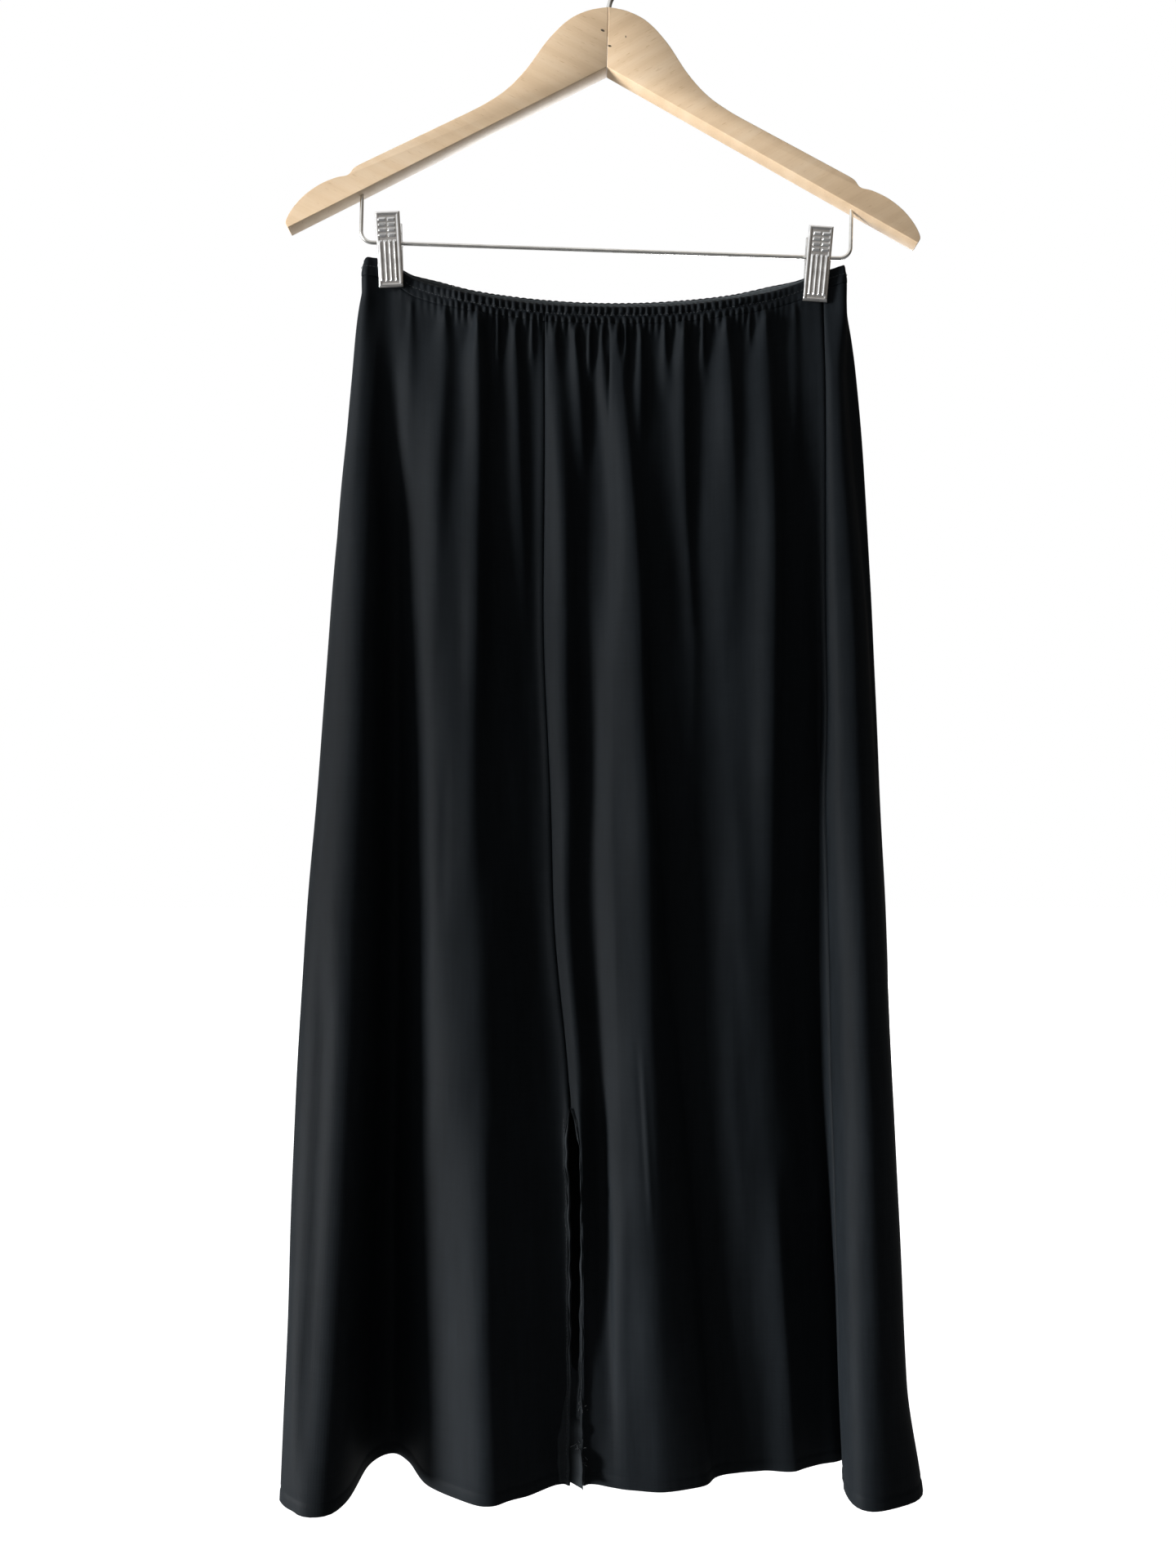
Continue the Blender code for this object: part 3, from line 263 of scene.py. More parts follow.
SLIT_EDGES = (
    SlitEdge(570.0, 0.15, 0.15),
    SlitEdge(578.0, 1.2, 2.6),
    SlitEdge(597.0, 2.9, 5.2),
    SlitEdge(622.0, 2.2, 5.8),
    SlitEdge(642.0, 1.8, 5.6),
    SlitEdge(690.0, 1.6, 5.0),
    SlitEdge(735.0, 1.6, 4.6),
    SlitEdge(763.0, 1.2, 4.0),
    SlitEdge(775.0, 1.2, 3.2),
    SlitEdge(790.0, 1.8, 2.4),
    SlitEdge(815.0, 2.2, 2.4),
    SlitEdge(837.0, 2.6, 2.8),
)


def smoothstep(value: Array | float) -> Array:
    """Return a soft rise from 0 to 1 as value goes from 0 to 1."""
    value = np.clip(value, 0.0, 1.0)
    return value * value * (3.0 - 2.0 * value)


def bell(value: Array | float) -> Array:
    """Return a soft bump of height 1 about 0, one wide."""
    return np.exp(-np.square(value))


def spline_weights(fraction: Array) -> tuple[Array, ...]:
    """Return the four weights of a smooth curve between its two middle points."""
    f = fraction
    return (
        0.5 * (-f + 2 * f**2 - f**3),
        0.5 * (2 - 5 * f**2 + 3 * f**3),
        0.5 * (f + 4 * f**2 - 3 * f**3),
        0.5 * (-(f**2) + f**3),
    )


@dataclass(frozen=True)
class WaistSizes:
    """The waist's edge, which two clips hold and which sags between them."""

    left: float = -174.0
    right: float = 166.0
    top_left: float = -222.6
    top_right: float = -227.8
    level: float = -239.0
    front_sag: float = 34.0
    back_sag: float = 25.3
    front_power: float = 2.4
    back_power: float = 2.0
    level_start: float = 0.78
    level_run: float = 0.17
    left_levelling: float = 1.0
    right_levelling: float = 0.4
    middle_gap: float = 8.5
    clip_gap: float = 2.6
    end_gap: float = 5.4
    pinch_half_width: float = 11.0
    pinch_run: float = 50.0
    grips: tuple[float, float] = (-152.55, 142.84)


@dataclass(frozen=True)
class SkirtSizes:
    """Drops down the cloth, and how far its gathers stand out."""

    length: float = 837.0
    casing: float = 12.0
    grip: float = 24.0
    top: float = 80.0
    hip: float = 261.0
    knee: float = 545.0
    slit_top: float = 570.0
    gathers: int = 150
    gather_relief: float = 1.5
    gather_relief_at_clip: float = 0.25
    stitch_drop: float = 6.4
    wall: float = 0.9
    allowance: float = 2.3
    hem_turn: float = 7.0
    kick: float = 8.0
    kick_drop: float = 765.0
    kick_run: float = 90.0


class SkirtForm:
    """The skirt's outer surface, as a function of a place around it and a drop below its waist.

    A place is counted in folds from the left edge, along the front first.
    """

    def __init__(self, waist: WaistSizes, sizes: SkirtSizes) -> None:
        """Work out the folds' grid and the lengths along the waist."""
        self.waist = waist
        self.sizes = sizes
        self.count = len(FOLDS)
        self.index = {fold.name: number for number, fold in enumerate(FOLDS)}
        self.right_end = self.index["right_tuck"]
        self.levels = np.array([sizes.grip, sizes.top, sizes.hip, sizes.knee, sizes.length])
        self.grid = self._fold_grid()
        self.places = np.linspace(0.0, self.count, 40 * self.count + 1)
        steps = np.diff(self.plan(self.places, np.full_like(self.places, sizes.casing)), axis=0)
        self.lengths = np.concatenate([[0.0], np.cumsum(np.linalg.norm(steps, axis=1))])
        self.girth = float(self.lengths[-1])
        self.back_ridges = self._back_ridges()

    def pinch(self, x: Array) -> Array:
        """Return how far the waist is pinched at x: 1 in a clip and 0 away from both."""
        left, right = self.waist.grips
        nearest = np.minimum(np.abs(x - left), np.abs(x - right))
        between = (x > left) & (x < right)
        run = np.where(between, self.waist.pinch_run, self.waist.pinch_half_width)
        return 1.0 - smoothstep((nearest - self.waist.pinch_half_width) / run)

    def _half_gap(self, x: float) -> float:
        """Return half the waist's depth from front to back at x."""
        waist = self.waist
        between = waist.grips[0] < x < waist.grips[1]
        open_gap = waist.middle_gap if between else waist.end_gap
        gap = waist.clip_gap + (open_gap - waist.clip_gap) * (1.0 - float(self.pinch(np.array(x))))
        inset = min(x - waist.left, waist.right - x)
        if inset < waist.end_gap:
            gap *= math.sqrt(max(0.0, 1.0 - (1.0 - inset / waist.end_gap) ** 2))
        return gap

    def _fold_grid(self) -> Array:
        """Return each fold's x and y at each level, as levels by folds by 2."""
        waist_row = []
        for number, fold in enumerate(FOLDS):
            side = 0 if number in (0, self.right_end) else (-1 if number < self.right_end else 1)
            waist_row.append((fold.waist_x, side * self._half_gap(fold.waist_x)))
        rows = [waist_row]
        rows += [[getattr(fold, level) for fold in FOLDS] for level in ("top", "hip", "knee", "hem")]
        return np.array(rows, dtype=float)

    def level_points(self, place: Array) -> Array:
        """Return x and y at each level for each place, as levels by places by 2."""
        first = np.floor(place).astype(int)
        weights = spline_weights(place - first)
        return sum(weight[None, :, None] * self.grid[:, (first + offset) % self.count]
                   for offset, weight in zip((-1, 0, 1, 2), weights))

    def plan(self, place: Array, drop: Array) -> Array:
        """Return x and y of the surface with its long folds only, for pairs of place and drop."""
        points = self.level_points(place)
        drop = np.clip(drop, self.levels[0], self.levels[-1])
        steps = np.diff(self.levels)[:, None, None]
        slopes = np.empty_like(points)
        slopes[0] = (points[1] - points[0]) / steps[0] * np.array((1.8, 0.0))
        slopes[-1] = (points[-1] - points[-2]) / steps[-1]
        slopes[1:-1] = (points[2:] - points[:-2]) / (steps[1:] + steps[:-1])
        low = np.clip(np.searchsorted(self.levels, drop, side="right") - 1, 0, len(self.levels) - 2)
        pick = np.arange(len(place))
        run = (self.levels[low + 1] - self.levels[low])[:, None]
        t = (drop[:, None] - self.levels[low][:, None]) / run
        point = (points[low, pick] * (2 * t**3 - 3 * t**2 + 1)
                 + slopes[low, pick] * run * (t**3 - 2 * t**2 + t)
                 + points[low + 1, pick] * (3 * t**2 - 2 * t**3)
                 + slopes[low + 1, pick] * run * (t**3 - t**2))
        front = (place % self.count) <= self.right_end
        for sway in SWAYS:
            near = bell((point[:, 0] - sway.x) / sway.width) * bell((drop - sway.drop) / sway.length)
            point[:, 0] += np.where(front, sway.shift * near, 0.0)
        return point

    def length_at(self, place: Array) -> Array:
        """Return the length along the waist at each place."""
        return np.interp(place % self.count, self.places, self.lengths)

    def place_at(self, length: Array) -> Array:
        """Return the place at each length along the waist, which may be below 0 or past the end."""
        turns = np.floor(length / self.girth)
        return np.interp(length - turns * self.girth, self.lengths, self.places) + turns * self.count

    def waist_height(self, place: Array) -> Array:
        """Return the height of the waist's top edge at each place."""
        waist = self.waist
        x, y = self.level_points(place)[0].T
        middle = (waist.left + waist.right) / 2
        across = np.clip((x - middle) / ((waist.right - waist.left) / 2), -1.0, 1.0)
        ends = waist.top_left + (waist.top_right - waist.top_left) * (across + 1) / 2
        back = smoothstep((y + waist.end_gap) / (2 * waist.end_gap))
        levelling = np.where(across < 0.0, waist.left_levelling, waist.right_levelling)
        level = 1.0 - levelling * smoothstep((np.abs(across) - waist.level_start) / waist.level_run)
        front_drop = waist.front_sag * (1.0 - np.abs(across) ** waist.front_power)
        back_drop = waist.back_sag * (1.0 - np.abs(across) ** waist.back_power)
        return ends - level * (front_drop + (back_drop - front_drop) * back)

    def height(self, place: Array, drop: Array) -> Array:
        """Return the height of each point."""
        share = 1.0 - np.maximum(drop, 0.0) / self.sizes.length
        level = self.waist.level
        return level - drop + (self.waist_height(place) - level) * share

    def _back_ridges(self) -> list[tuple[float, float, float, float]]:
        """Return the back's ridges below its gathers, as length, width, height and reach."""
        start = float(self.length_at(np.array([self.index["back_right"]]))[0])
        count = 23
        pitch = (self.girth - start) / (count + 1)
        ridges = []
        for number in range(count):
            centre = start + (number + 0.6 + 0.3 * math.sin(2.1 * number)) * pitch
            wide = number % 2 == 0
            width = (6.6 if wide else 4.0) + 1.1 * math.sin(3.1 * number)
            height = (2.2 if wide else 1.4) + 0.6 * math.sin(1.7 * number + 0.5)
            reach = (250.0 if wide else 75.0) * (1.0 + 0.35 * math.sin(2.9 * number + 1.0))
            ridges.append((centre, width, height, reach))
        return ridges

    def tucks(self, place: Array, drop: Array, x: Array) -> Array:
        """Return how far the ridges that fan out of the gathers stand out."""
        wrapped = place % self.count
        front = wrapped <= self.right_end
        relief = np.zeros_like(x)
        for ridge in RIDGES:
            away = x - self.ridge_line(ridge, drop)
            width = np.where(away < 0.0, ridge.left, ridge.right)
            relief += np.where(front, self._ridge(drop, away, width, ridge.height, ridge.start,
                                                  ridge.end), 0.0)
        length = self.length_at(place)
        for centre, width, height, reach in self.back_ridges:
            relief += np.where(front, 0.0, self._ridge(drop, length - centre, width, height,
                                                       self.sizes.casing + 1.0, reach))
        return relief

    def ridge_line(self, ridge: Ridge, drop: Array) -> Array:
        """Return x of a ridge's line at each drop, along a smooth curve through its table."""
        levels = RIDGE_LEVELS[:len(ridge.line)]
        curve = np.polynomial.Polynomial.fit(levels, ridge.line, min(3, len(levels) - 1),
                                             domain=(0.0, self.sizes.length))
        below = np.clip(drop, levels[0], max(levels[-1], self.sizes.length if len(levels) > 4 else 0))
        return curve(below)

    def _ridge(self, drop: Array, away: Array, width: Array | float, height: float,
               start: float, end: float) -> Array:
        """Return one ridge: pointed under the casing, wider below, and fading out at its end."""
        open_up = 0.34 + 0.66 * smoothstep((drop - self.sizes.casing + 1.0) / 45.0)
        rise = smoothstep((drop - start + 4.0) / (12.0 if start < 30.0 else 90.0))
        rise = rise * (1.0 + 0.22 * bell((drop - 50.0) / 60.0))
        fade = 1.0 - smoothstep((drop - start - 0.3 * (end - start)) / (0.7 * (end - start)))
        return height * rise * fade * bell(away / (width * open_up))

    def creases(self, place: Array, drop: Array, x: Array) -> Array:
        """Return the depth of the long creases on the front, and of like ones on the back."""
        front = (place % self.count) <= self.right_end
        relief = np.zeros_like(x)
        for crease in CREASES:
            run = crease.bottom_drop - crease.top_drop
            share = (drop - crease.top_drop) / run
            line = crease.top_x + (crease.bottom_x - crease.top_x) * share
            ends = smoothstep(share / 0.35) * smoothstep((1.0 - share) / 0.35)
            mirrored = np.where(front, x - line, -x - line * 0.92)
            side = np.where(front, 1.0, 0.8)
            relief += side * crease.height * ends * bell(mirrored / crease.width)
        return relief

    def undulation(self, place: Array, drop: Array) -> Array:
        """Return the cloth's slight unevenness away from its folds."""
        length = self.length_at(place)
        slow = np.sin(0.071 * length + 0.0061 * drop) * np.sin(0.013 * drop + 0.9)
        mid = np.sin(0.163 * length - 0.011 * drop + 1.3) * np.sin(0.021 * drop + 0.017 * length)
        fine = np.sin(0.31 * length + 0.019 * drop + 0.4) * np.sin(0.037 * drop - 0.05 * length)
        return (0.5 * slow + 0.42 * mid + 0.2 * fine) * smoothstep((drop - 40.0) / 150.0)

    def gather_crest(self, place: Array, shift: float = 0.0) -> Array:
        """Return the fine gathers' wave at each place, from 0 in a groove to 1 on a crest.

        Args:
            place: The places around the skirt.
            shift: How far the wave is turned, in radians.
        """
        length = self.length_at(place)
        turn = 2.0 * math.pi * self.sizes.gathers / self.girth * length
        turn = turn + 0.75 * np.sin(0.19 * length) + 0.5 * np.sin(0.083 * length + 1.0) + shift
        return 1.0 - (0.5 - 0.5 * np.cos(turn)) ** 1.5

    def gathers(self, place: Array, drop: Array) -> Array:
        """Return the relief of the gathers: ribs over the stitches, and ribs between them below."""
        length = self.length_at(place)
        stitch = self.sizes.stitch_drop + 0.5 * np.sin(0.53 * length) + 0.3 * np.sin(1.31 * length)
        upper = smoothstep((drop + 0.6) / 2.4) * (1.0 - smoothstep((drop - stitch + 1.6) / 2.6))
        lower = smoothstep((drop - stitch - 0.2) / 3.6) * (1.0 - smoothstep((drop - 12.5) / 14.0))
        pinched = -0.45 * bell((drop - stitch) / 1.3) * (1.0 - self.pinch_at(place))
        return (self.gather_height(place) * (upper * self.gather_crest(place)
                                             + lower * self.gather_crest(place, math.pi)) + pinched)

    def pinch_at(self, place: Array) -> Array:
        """Return how flat the waist is held at each place: 1 in the clips and outside both."""
        x = self.level_points(place)[0][:, 0]
        left, right = self.waist.grips
        return np.where((x < left) | (x > right), 1.0, self.pinch(x))

    def gather_height(self, place: Array) -> Array:
        """Return how far a gather's crest stands out at each place."""
        length = self.length_at(place)
        uneven = 1.0 + 0.3 * np.sin(0.37 * length) * np.sin(0.11 * length + 0.6)
        height = self.sizes.gather_relief * uneven
        return height + (self.sizes.gather_relief_at_clip - height) * self.pinch_at(place)

    def panel_relief(self, place: Array, drop: Array) -> Array:
        """Return how far a panel stands out of its plain long folds."""
        sizes = self.sizes
        x = self.plan(place, drop)[:, 0]
        gathers = self.gathers(place, drop)
        kick_share = smoothstep((drop - sizes.kick_drop) / sizes.kick_run)
        kick = sizes.kick * bell((place % self.count) - self.right_end) * kick_share
        calm = 1.0 - 0.75 * self.pinch_at(place) * (1.0 - smoothstep((drop - 60.0) / 90.0))
        turned = 0.28 * smoothstep((drop - sizes.length + sizes.hem_turn + 0.6) / 1.2)
        stitch = -0.22 * bell((drop - sizes.length + sizes.hem_turn + 1.6) / 1.1)
        return (gathers + self.tucks(place, drop, x) * calm + self.creases(place, drop, x)
                + self.undulation(place, drop) + kick + turned + stitch)

    def surface(self, place: Array, drop: Array, out: Array | float = 0.0,
                slide: Array | float = 0.0, rise: Array | float = 0.0) -> Array:
        """Return points of the cloth in metres.

        Args:
            place: The places around the skirt.
            drop: The drops below the waist, as many as places.
            out: How far the points lie out of the plain surface.
            slide: How far they are moved along the skirt.
            rise: How far they are moved up.

        Returns:
            The points, one row each.
        """
        step = 0.02
        along = self.plan(place + step, drop) - self.plan(place - step, drop)
        along /= np.linalg.norm(along, axis=1)[:, None]
        outward = np.stack([along[:, 1], -along[:, 0]], axis=1)
        out = np.broadcast_to(out, place.shape)[:, None]
        slide = np.broadcast_to(slide, place.shape)[:, None]
        point = self.plan(place, drop) + outward * out + along * slide
        return np.column_stack([point, self.height(place, drop) + rise]) * MM

    def scale(self, place: float, drop: Array) -> Array:
        """Return the millimetres of cloth in one place, at each drop."""
        step = 0.05
        ends = [self.plan(np.full_like(drop, place + side * step), drop) for side in (-1, 1)]
        return np.linalg.norm(ends[1] - ends[0], axis=1) / (2 * step)

    def slit_half(self, drop: Array, into: int) -> Array:
        """Return how far one edge of the slit lies from its middle line.

        Args:
            drop: The drops below the waist.
            into: -1 for the left edge and 1 for the right one.
        """
        drops = [edge.drop for edge in SLIT_EDGES]
        halves = [edge.left if into < 0 else edge.right for edge in SLIT_EDGES]
        wave = 0.28 * np.sin(drop / 5.3 + into) + 0.2 * np.sin(drop / 2.9 + 2.0 * into)
        open_share = smoothstep((drop - self.sizes.slit_top - 6.0) / 20.0)
        return np.interp(drop, drops, halves) + wave * open_share

    def slit_flutter(self, drop: Array, away: Array, into: int) -> Array:
        """Return how far the cloth beside the slit curls out of its surface."""
        share = smoothstep((drop - self.sizes.slit_top + 30.0) / 55.0)
        wave = 0.45 * np.sin(drop / 7.7 + 1.5 * into) + 0.25 * np.sin(drop / 3.7)
        lip = 1.5 * bell((drop - 590.0) / 22.0) + 1.8 * smoothstep((drop - 790.0) / 40.0)
        side = SLIT_SIDES[into]
        roll = side.roll_height * bell((away - side.roll_crest) / side.roll_width)
        return share * ((wave + side.lip_share * lip) * np.exp(-away / 4.0) + roll)


def grid_quads(number: Array) -> Array:
    """Return the four corners of each cell in a grid of point numbers."""
    return np.stack([number[:-1, :-1], number[1:, :-1], number[1:, 1:], number[:-1, 1:]], -1)


def wall_mesh(name: str, outer: Array, inner: Array, uv: Array) -> Mesh:
    """Return a closed thin wall between two grids of points.

    Args:
        name: The mesh's name.
        outer: The outer points, as rows by columns by 3.
        inner: The inner points, in the same rows and columns.
        uv: Two lengths for each point, in metres.
    """
    rows, columns = outer.shape[:2]
    number = np.arange(rows * columns).reshape(rows, columns)
    behind = number + rows * columns
    quads = [grid_quads(number), grid_quads(behind)[..., (0, 3, 2, 1)]]
    for line, back in ((number[0], behind[0]), (number[-1][::-1], behind[-1][::-1]),
                       (number[::-1, 0], behind[::-1, 0]), (number[:, -1], behind[:, -1])):
        quads.append(np.stack([line[:-1], line[1:], back[1:], back[:-1]], -1))
    faces = np.concatenate([quad.reshape(-1, 4) for quad in quads])
    points = np.concatenate([outer.reshape(-1, 3), inner.reshape(-1, 3)])
    return poly_mesh(name, points, faces.tolist(), np.concatenate([uv.reshape(-1, 2)] * 2))


def loop_mesh(name: str, rings: Array, uv: Array, closed: bool) -> Mesh:
    """Return a closed tube from loops of points along a line.

    Args:
        name: The mesh's name.
        rings: The points, as points of a loop by places along the line by 3.
        uv: Two lengths for each point, in metres.
        closed: Whether the line meets its own start; if not, its ends are capped.
    """
    faces = tube_faces(*rings.shape[:2], closed=closed)
    return poly_mesh(name, rings.reshape(-1, 3), faces, uv.reshape(-1, 2))


def poly_mesh(name: str, points: Array, faces: list, uv: Array) -> Mesh:
    """Return a smooth mesh with a UV map in metres."""
    mesh = bpy.data.meshes.new(name)
    mesh.from_pydata(points.tolist(), [], faces)
    layer = mesh.uv_layers.new(name="cloth")
    corners = np.empty(len(mesh.loops), dtype=np.int32)
    mesh.loops.foreach_get("vertex_index", corners)
    layer.data.foreach_set("uv", uv[corners].astype(np.float32).ravel())
    mesh.shade_smooth()
    return mesh


def tube_points(centres: Array, radius: float, sides: int) -> Array:
    """Return rings of points round a line, as sides by places by 3."""
    tangents = np.gradient(centres, axis=0)
    tangents /= np.linalg.norm(tangents, axis=1)[:, None]
    guide = np.array((0.0, 1.0, 0.0)) if abs(tangents[0][1]) < 0.8 else np.array((1.0, 0.0, 0.0))
    first = np.cross(tangents, guide)
    first /= np.linalg.norm(first, axis=1)[:, None]
    second = np.cross(tangents, first)
    angles = np.linspace(0.0, 2 * math.pi, sides, endpoint=False)
    return np.stack([centres + radius * (math.cos(a) * first + math.sin(a) * second) for a in angles])


def tube_faces(sides: int, places: int, start: int = 0, closed: bool = False) -> list[list[int]]:
    """Return the faces of a tube whose points start at a number, capped unless it is closed."""
    number = np.arange(sides * places).reshape(sides, places) + start
    ring = np.concatenate([number, number[:1]])
    if closed:
        ring = np.concatenate([ring, ring[:, :1]], axis=1)
    faces = grid_quads(ring).reshape(-1, 4).tolist()
    if not closed:
        faces.append(number[:, 0][::-1].tolist())
        faces.append(number[:, -1].tolist())
    return faces


def thread_mesh(name: str, lines: list[Array], radius: float, sides: int) -> Mesh:
    """Return one mesh of many short round threads.

    Args:
        name: The mesh's name.
        lines: The middle line of each thread, as places by 3, in metres.
        radius: The threads' radius in metres.
        sides: How many sides each thread has.
    """
    points: list[Array] = []
    faces: list[list[int]] = []
    start = 0
    for line in lines:
        rings = tube_points(line, radius, sides)
        faces += tube_faces(sides, len(line), start)
        points.append(rings.reshape(-1, 3))
        start += rings.shape[0] * rings.shape[1]
    stacked = np.concatenate(points)
    return poly_mesh(name, stacked, faces, stacked[:, [0, 2]])


def add_piece(mesh: Mesh, material: Material,
              nodes: tuple[str, ...] = ()) -> bpy.types.Object:
    """Add a finished piece that rides on the body.

    Args:
        mesh: The piece's mesh, in its place.
        material: Its finish.
        nodes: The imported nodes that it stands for.

    Returns:
        The piece.
    """
    return adopt(linked(mesh.name, mesh), material, nodes)


def adopt(piece: bpy.types.Object, material: Material,
          nodes: tuple[str, ...] = ()) -> bpy.types.Object:
    """Give a piece its finish and its body, and hide the nodes that it stands for."""
    piece.data.materials.clear()
    piece.data.materials.append(material)
    if nodes:
        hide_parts(*nodes)
    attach(piece, BODY)
    LOG.info("%s: %d faces", piece.name, len(piece.data.polygons))
    return piece


def preset(node: bpy.types.Node, **values: object) -> bpy.types.Node:
    """Set a node's inputs, whose names here have underscores for spaces, and return the node."""
    for name, value in values.items():
        node.inputs[name.replace("_", " ")].default_value = value
    return node


@dataclass
class Graph:
    """A node tree with short calls to add and join its nodes."""

    tree: bpy.types.NodeTree

    def add(self, kind: str, **settings: object) -> bpy.types.Node:
        """Add a node and set its properties."""
        node = self.tree.nodes.new(kind)
        for name, value in settings.items():
            setattr(node, name, value)
        return node

    def join(self, source: NodeSocket, target: NodeSocket) -> None:
        """Link two sockets."""
        self.tree.links.new(source, target)

    def math(self, operation: str, first: object, second: object = None) -> NodeSocket:
        """Add a math node on sockets or numbers, and return its output."""
        node = self.add("ShaderNodeMath", operation=operation)
        for socket, value in zip(node.inputs, (first, second)):
            if isinstance(value, NodeSocket):
                self.join(value, socket)
            elif value is not None:
                socket.default_value = value
        return node.outputs[0]

    def noise(self, vector: NodeSocket, scale: float, detail: float,
              roughness: float = 0.5) -> NodeSocket:
        """Add a noise texture on a vector, and return its value."""
        node = preset(self.add("ShaderNodeTexNoise"), Scale=scale, Detail=detail,
                      Roughness=roughness)
        self.join(vector, node.inputs["Vector"])
        return node.outputs["Fac"]

    def wave(self, vector: NodeSocket, direction: str, scale: float, distortion: float,
             detail: float) -> NodeSocket:
        """Add a texture of bands across a direction, and return its value."""
        node = self.add("ShaderNodeTexWave", wave_type="BANDS", bands_direction=direction)
        preset(node, Scale=scale, Distortion=distortion, Detail=detail)
        self.join(vector, node.inputs["Vector"])
        return node.outputs["Fac"]

    def spots(self) -> NodeSocket:
        """Add the place on the object, and return it."""
        return self.add("ShaderNodeTexCoord").outputs["Object"]

    def blend(self, *parts: tuple[NodeSocket, float]) -> NodeSocket:
        """Add up sockets, each times its own share, and return the sum."""
        total = None
        for socket, share in parts:
            scaled = socket if share == 1.0 else self.math("MULTIPLY", socket, share)
            total = scaled if total is None else self.math("ADD", total, scaled)
        return total

    def stretch(self, vector: NodeSocket, scale: Triple,
                turn: float = 0.0) -> NodeSocket:
        """Add mapping that turns a vector about Y and then scales it, and return its output."""
        turned = preset(self.add("ShaderNodeMapping"), Rotation=(0.0, turn, 0.0))
        self.join(vector, turned.inputs["Vector"])
        scaled = preset(self.add("ShaderNodeMapping"), Scale=scale)
        self.join(turned.outputs[0], scaled.inputs["Vector"])
        return scaled.outputs[0]

    def ramp(self, value: NodeSocket,
             stops: list[tuple[float, tuple]]) -> NodeSocket:
        """Add a colour ramp with the given stops, and return its colour."""
        node = self.add("ShaderNodeValToRGB")
        elements = node.color_ramp.elements
        while len(elements) < len(stops):
            elements.new(0.5)
        for element, (position, colour) in zip(elements, stops):
            element.position = position
            element.color = (*colour, 1.0)
        self.join(value, node.inputs[0])
        return node.outputs[0]

    def range(self, value: NodeSocket, low: float, high: float) -> NodeSocket:
        """Add a map of 0 to 1 onto low to high, and return its output."""
        node = preset(self.add("ShaderNodeMapRange"), To_Min=low, To_Max=high)
        self.join(value, node.inputs["Value"])
        return node.outputs[0]

    def bump(self, height: NodeSocket, strength: float,
             distance: float) -> NodeSocket:
        """Add a bump on a height, and return its normal."""
        node = preset(self.add("ShaderNodeBump"), Strength=strength, Distance=distance)
        self.join(height, node.inputs["Height"])
        return node.outputs[0]


def new_group(name: str, *outputs: str) -> tuple[Graph, NodeSocket, bpy.types.Node]:
    """Return a new shader group, its Vector input times its Scale input, and its output node."""
    tree = bpy.data.node_groups.new(name, "ShaderNodeTree")
    tree.interface.new_socket("Vector", in_out="INPUT", socket_type="NodeSocketVector")
    tree.interface.new_socket("Scale", in_out="INPUT", socket_type="NodeSocketFloat")
    for label in outputs:
        tree.interface.new_socket(label, in_out="OUTPUT", socket_type="NodeSocketFloat")
    graph = Graph(tree)
    given = graph.add("NodeGroupInput")
    result = graph.add("NodeGroupOutput")
    scaled = graph.add("ShaderNodeVectorMath", operation="SCALE")
    graph.join(given.outputs["Vector"], scaled.inputs[0])
    graph.join(given.outputs["Scale"], scaled.inputs["Scale"])
    return graph, scaled.outputs[0], result


def weave_group() -> bpy.types.NodeTree:
    """Return the group for woven threads: a height, and a mask of uneven threads."""
    graph, vector, result = new_group("woven_threads", "Height", "Uneven")
    bands = [graph.wave(vector, direction, THREAD_WAVE, 0.6, 1.0) for direction in ("X", "Y")]
    graph.join(graph.math("MULTIPLY", *bands), result.inputs["Height"])
    warp = graph.noise(graph.stretch(vector, (0.05, 0.9, 1.0)), 0.35, 3.0)
    weft = graph.noise(graph.stretch(vector, (0.9, 0.04, 1.0)), 0.35, 3.0)
    graph.join(graph.blend((warp, 0.5), (weft, 0.5)), result.inputs["Uneven"])
    return graph.tree


def wear_group() -> bpy.types.NodeTree:
    """Return the group for handled metal: a smear mask and fine scratches."""
    graph, vector, result = new_group("handled_metal", "Smear", "Scratch")
    graph.join(graph.noise(vector, 0.35, 3.0), result.inputs["Smear"])
    lines = graph.noise(graph.stretch(vector, (9.0, 9.0, 0.5), 0.3), 1.0, 2.0, 0.7)
    graph.join(lines, result.inputs["Scratch"])
    return graph.tree


def finish_start(name: str) -> tuple[Graph, bpy.types.Node, Material]:
    """Return a new material's graph, its Principled shader and the material."""
    material = bpy.data.materials.new(name)
    material.use_nodes = True
    graph = Graph(material.node_tree)
    return graph, material.node_tree.nodes["Principled BSDF"], material


def place_group(graph: Graph, tree: bpy.types.NodeTree, vector: NodeSocket,
                scale: float) -> bpy.types.Node:
    """Place a shared group in a material with its own scale."""
    node = preset(graph.add("ShaderNodeGroup", node_tree=tree), Scale=scale)
    graph.join(vector, node.inputs["Vector"])
    return node


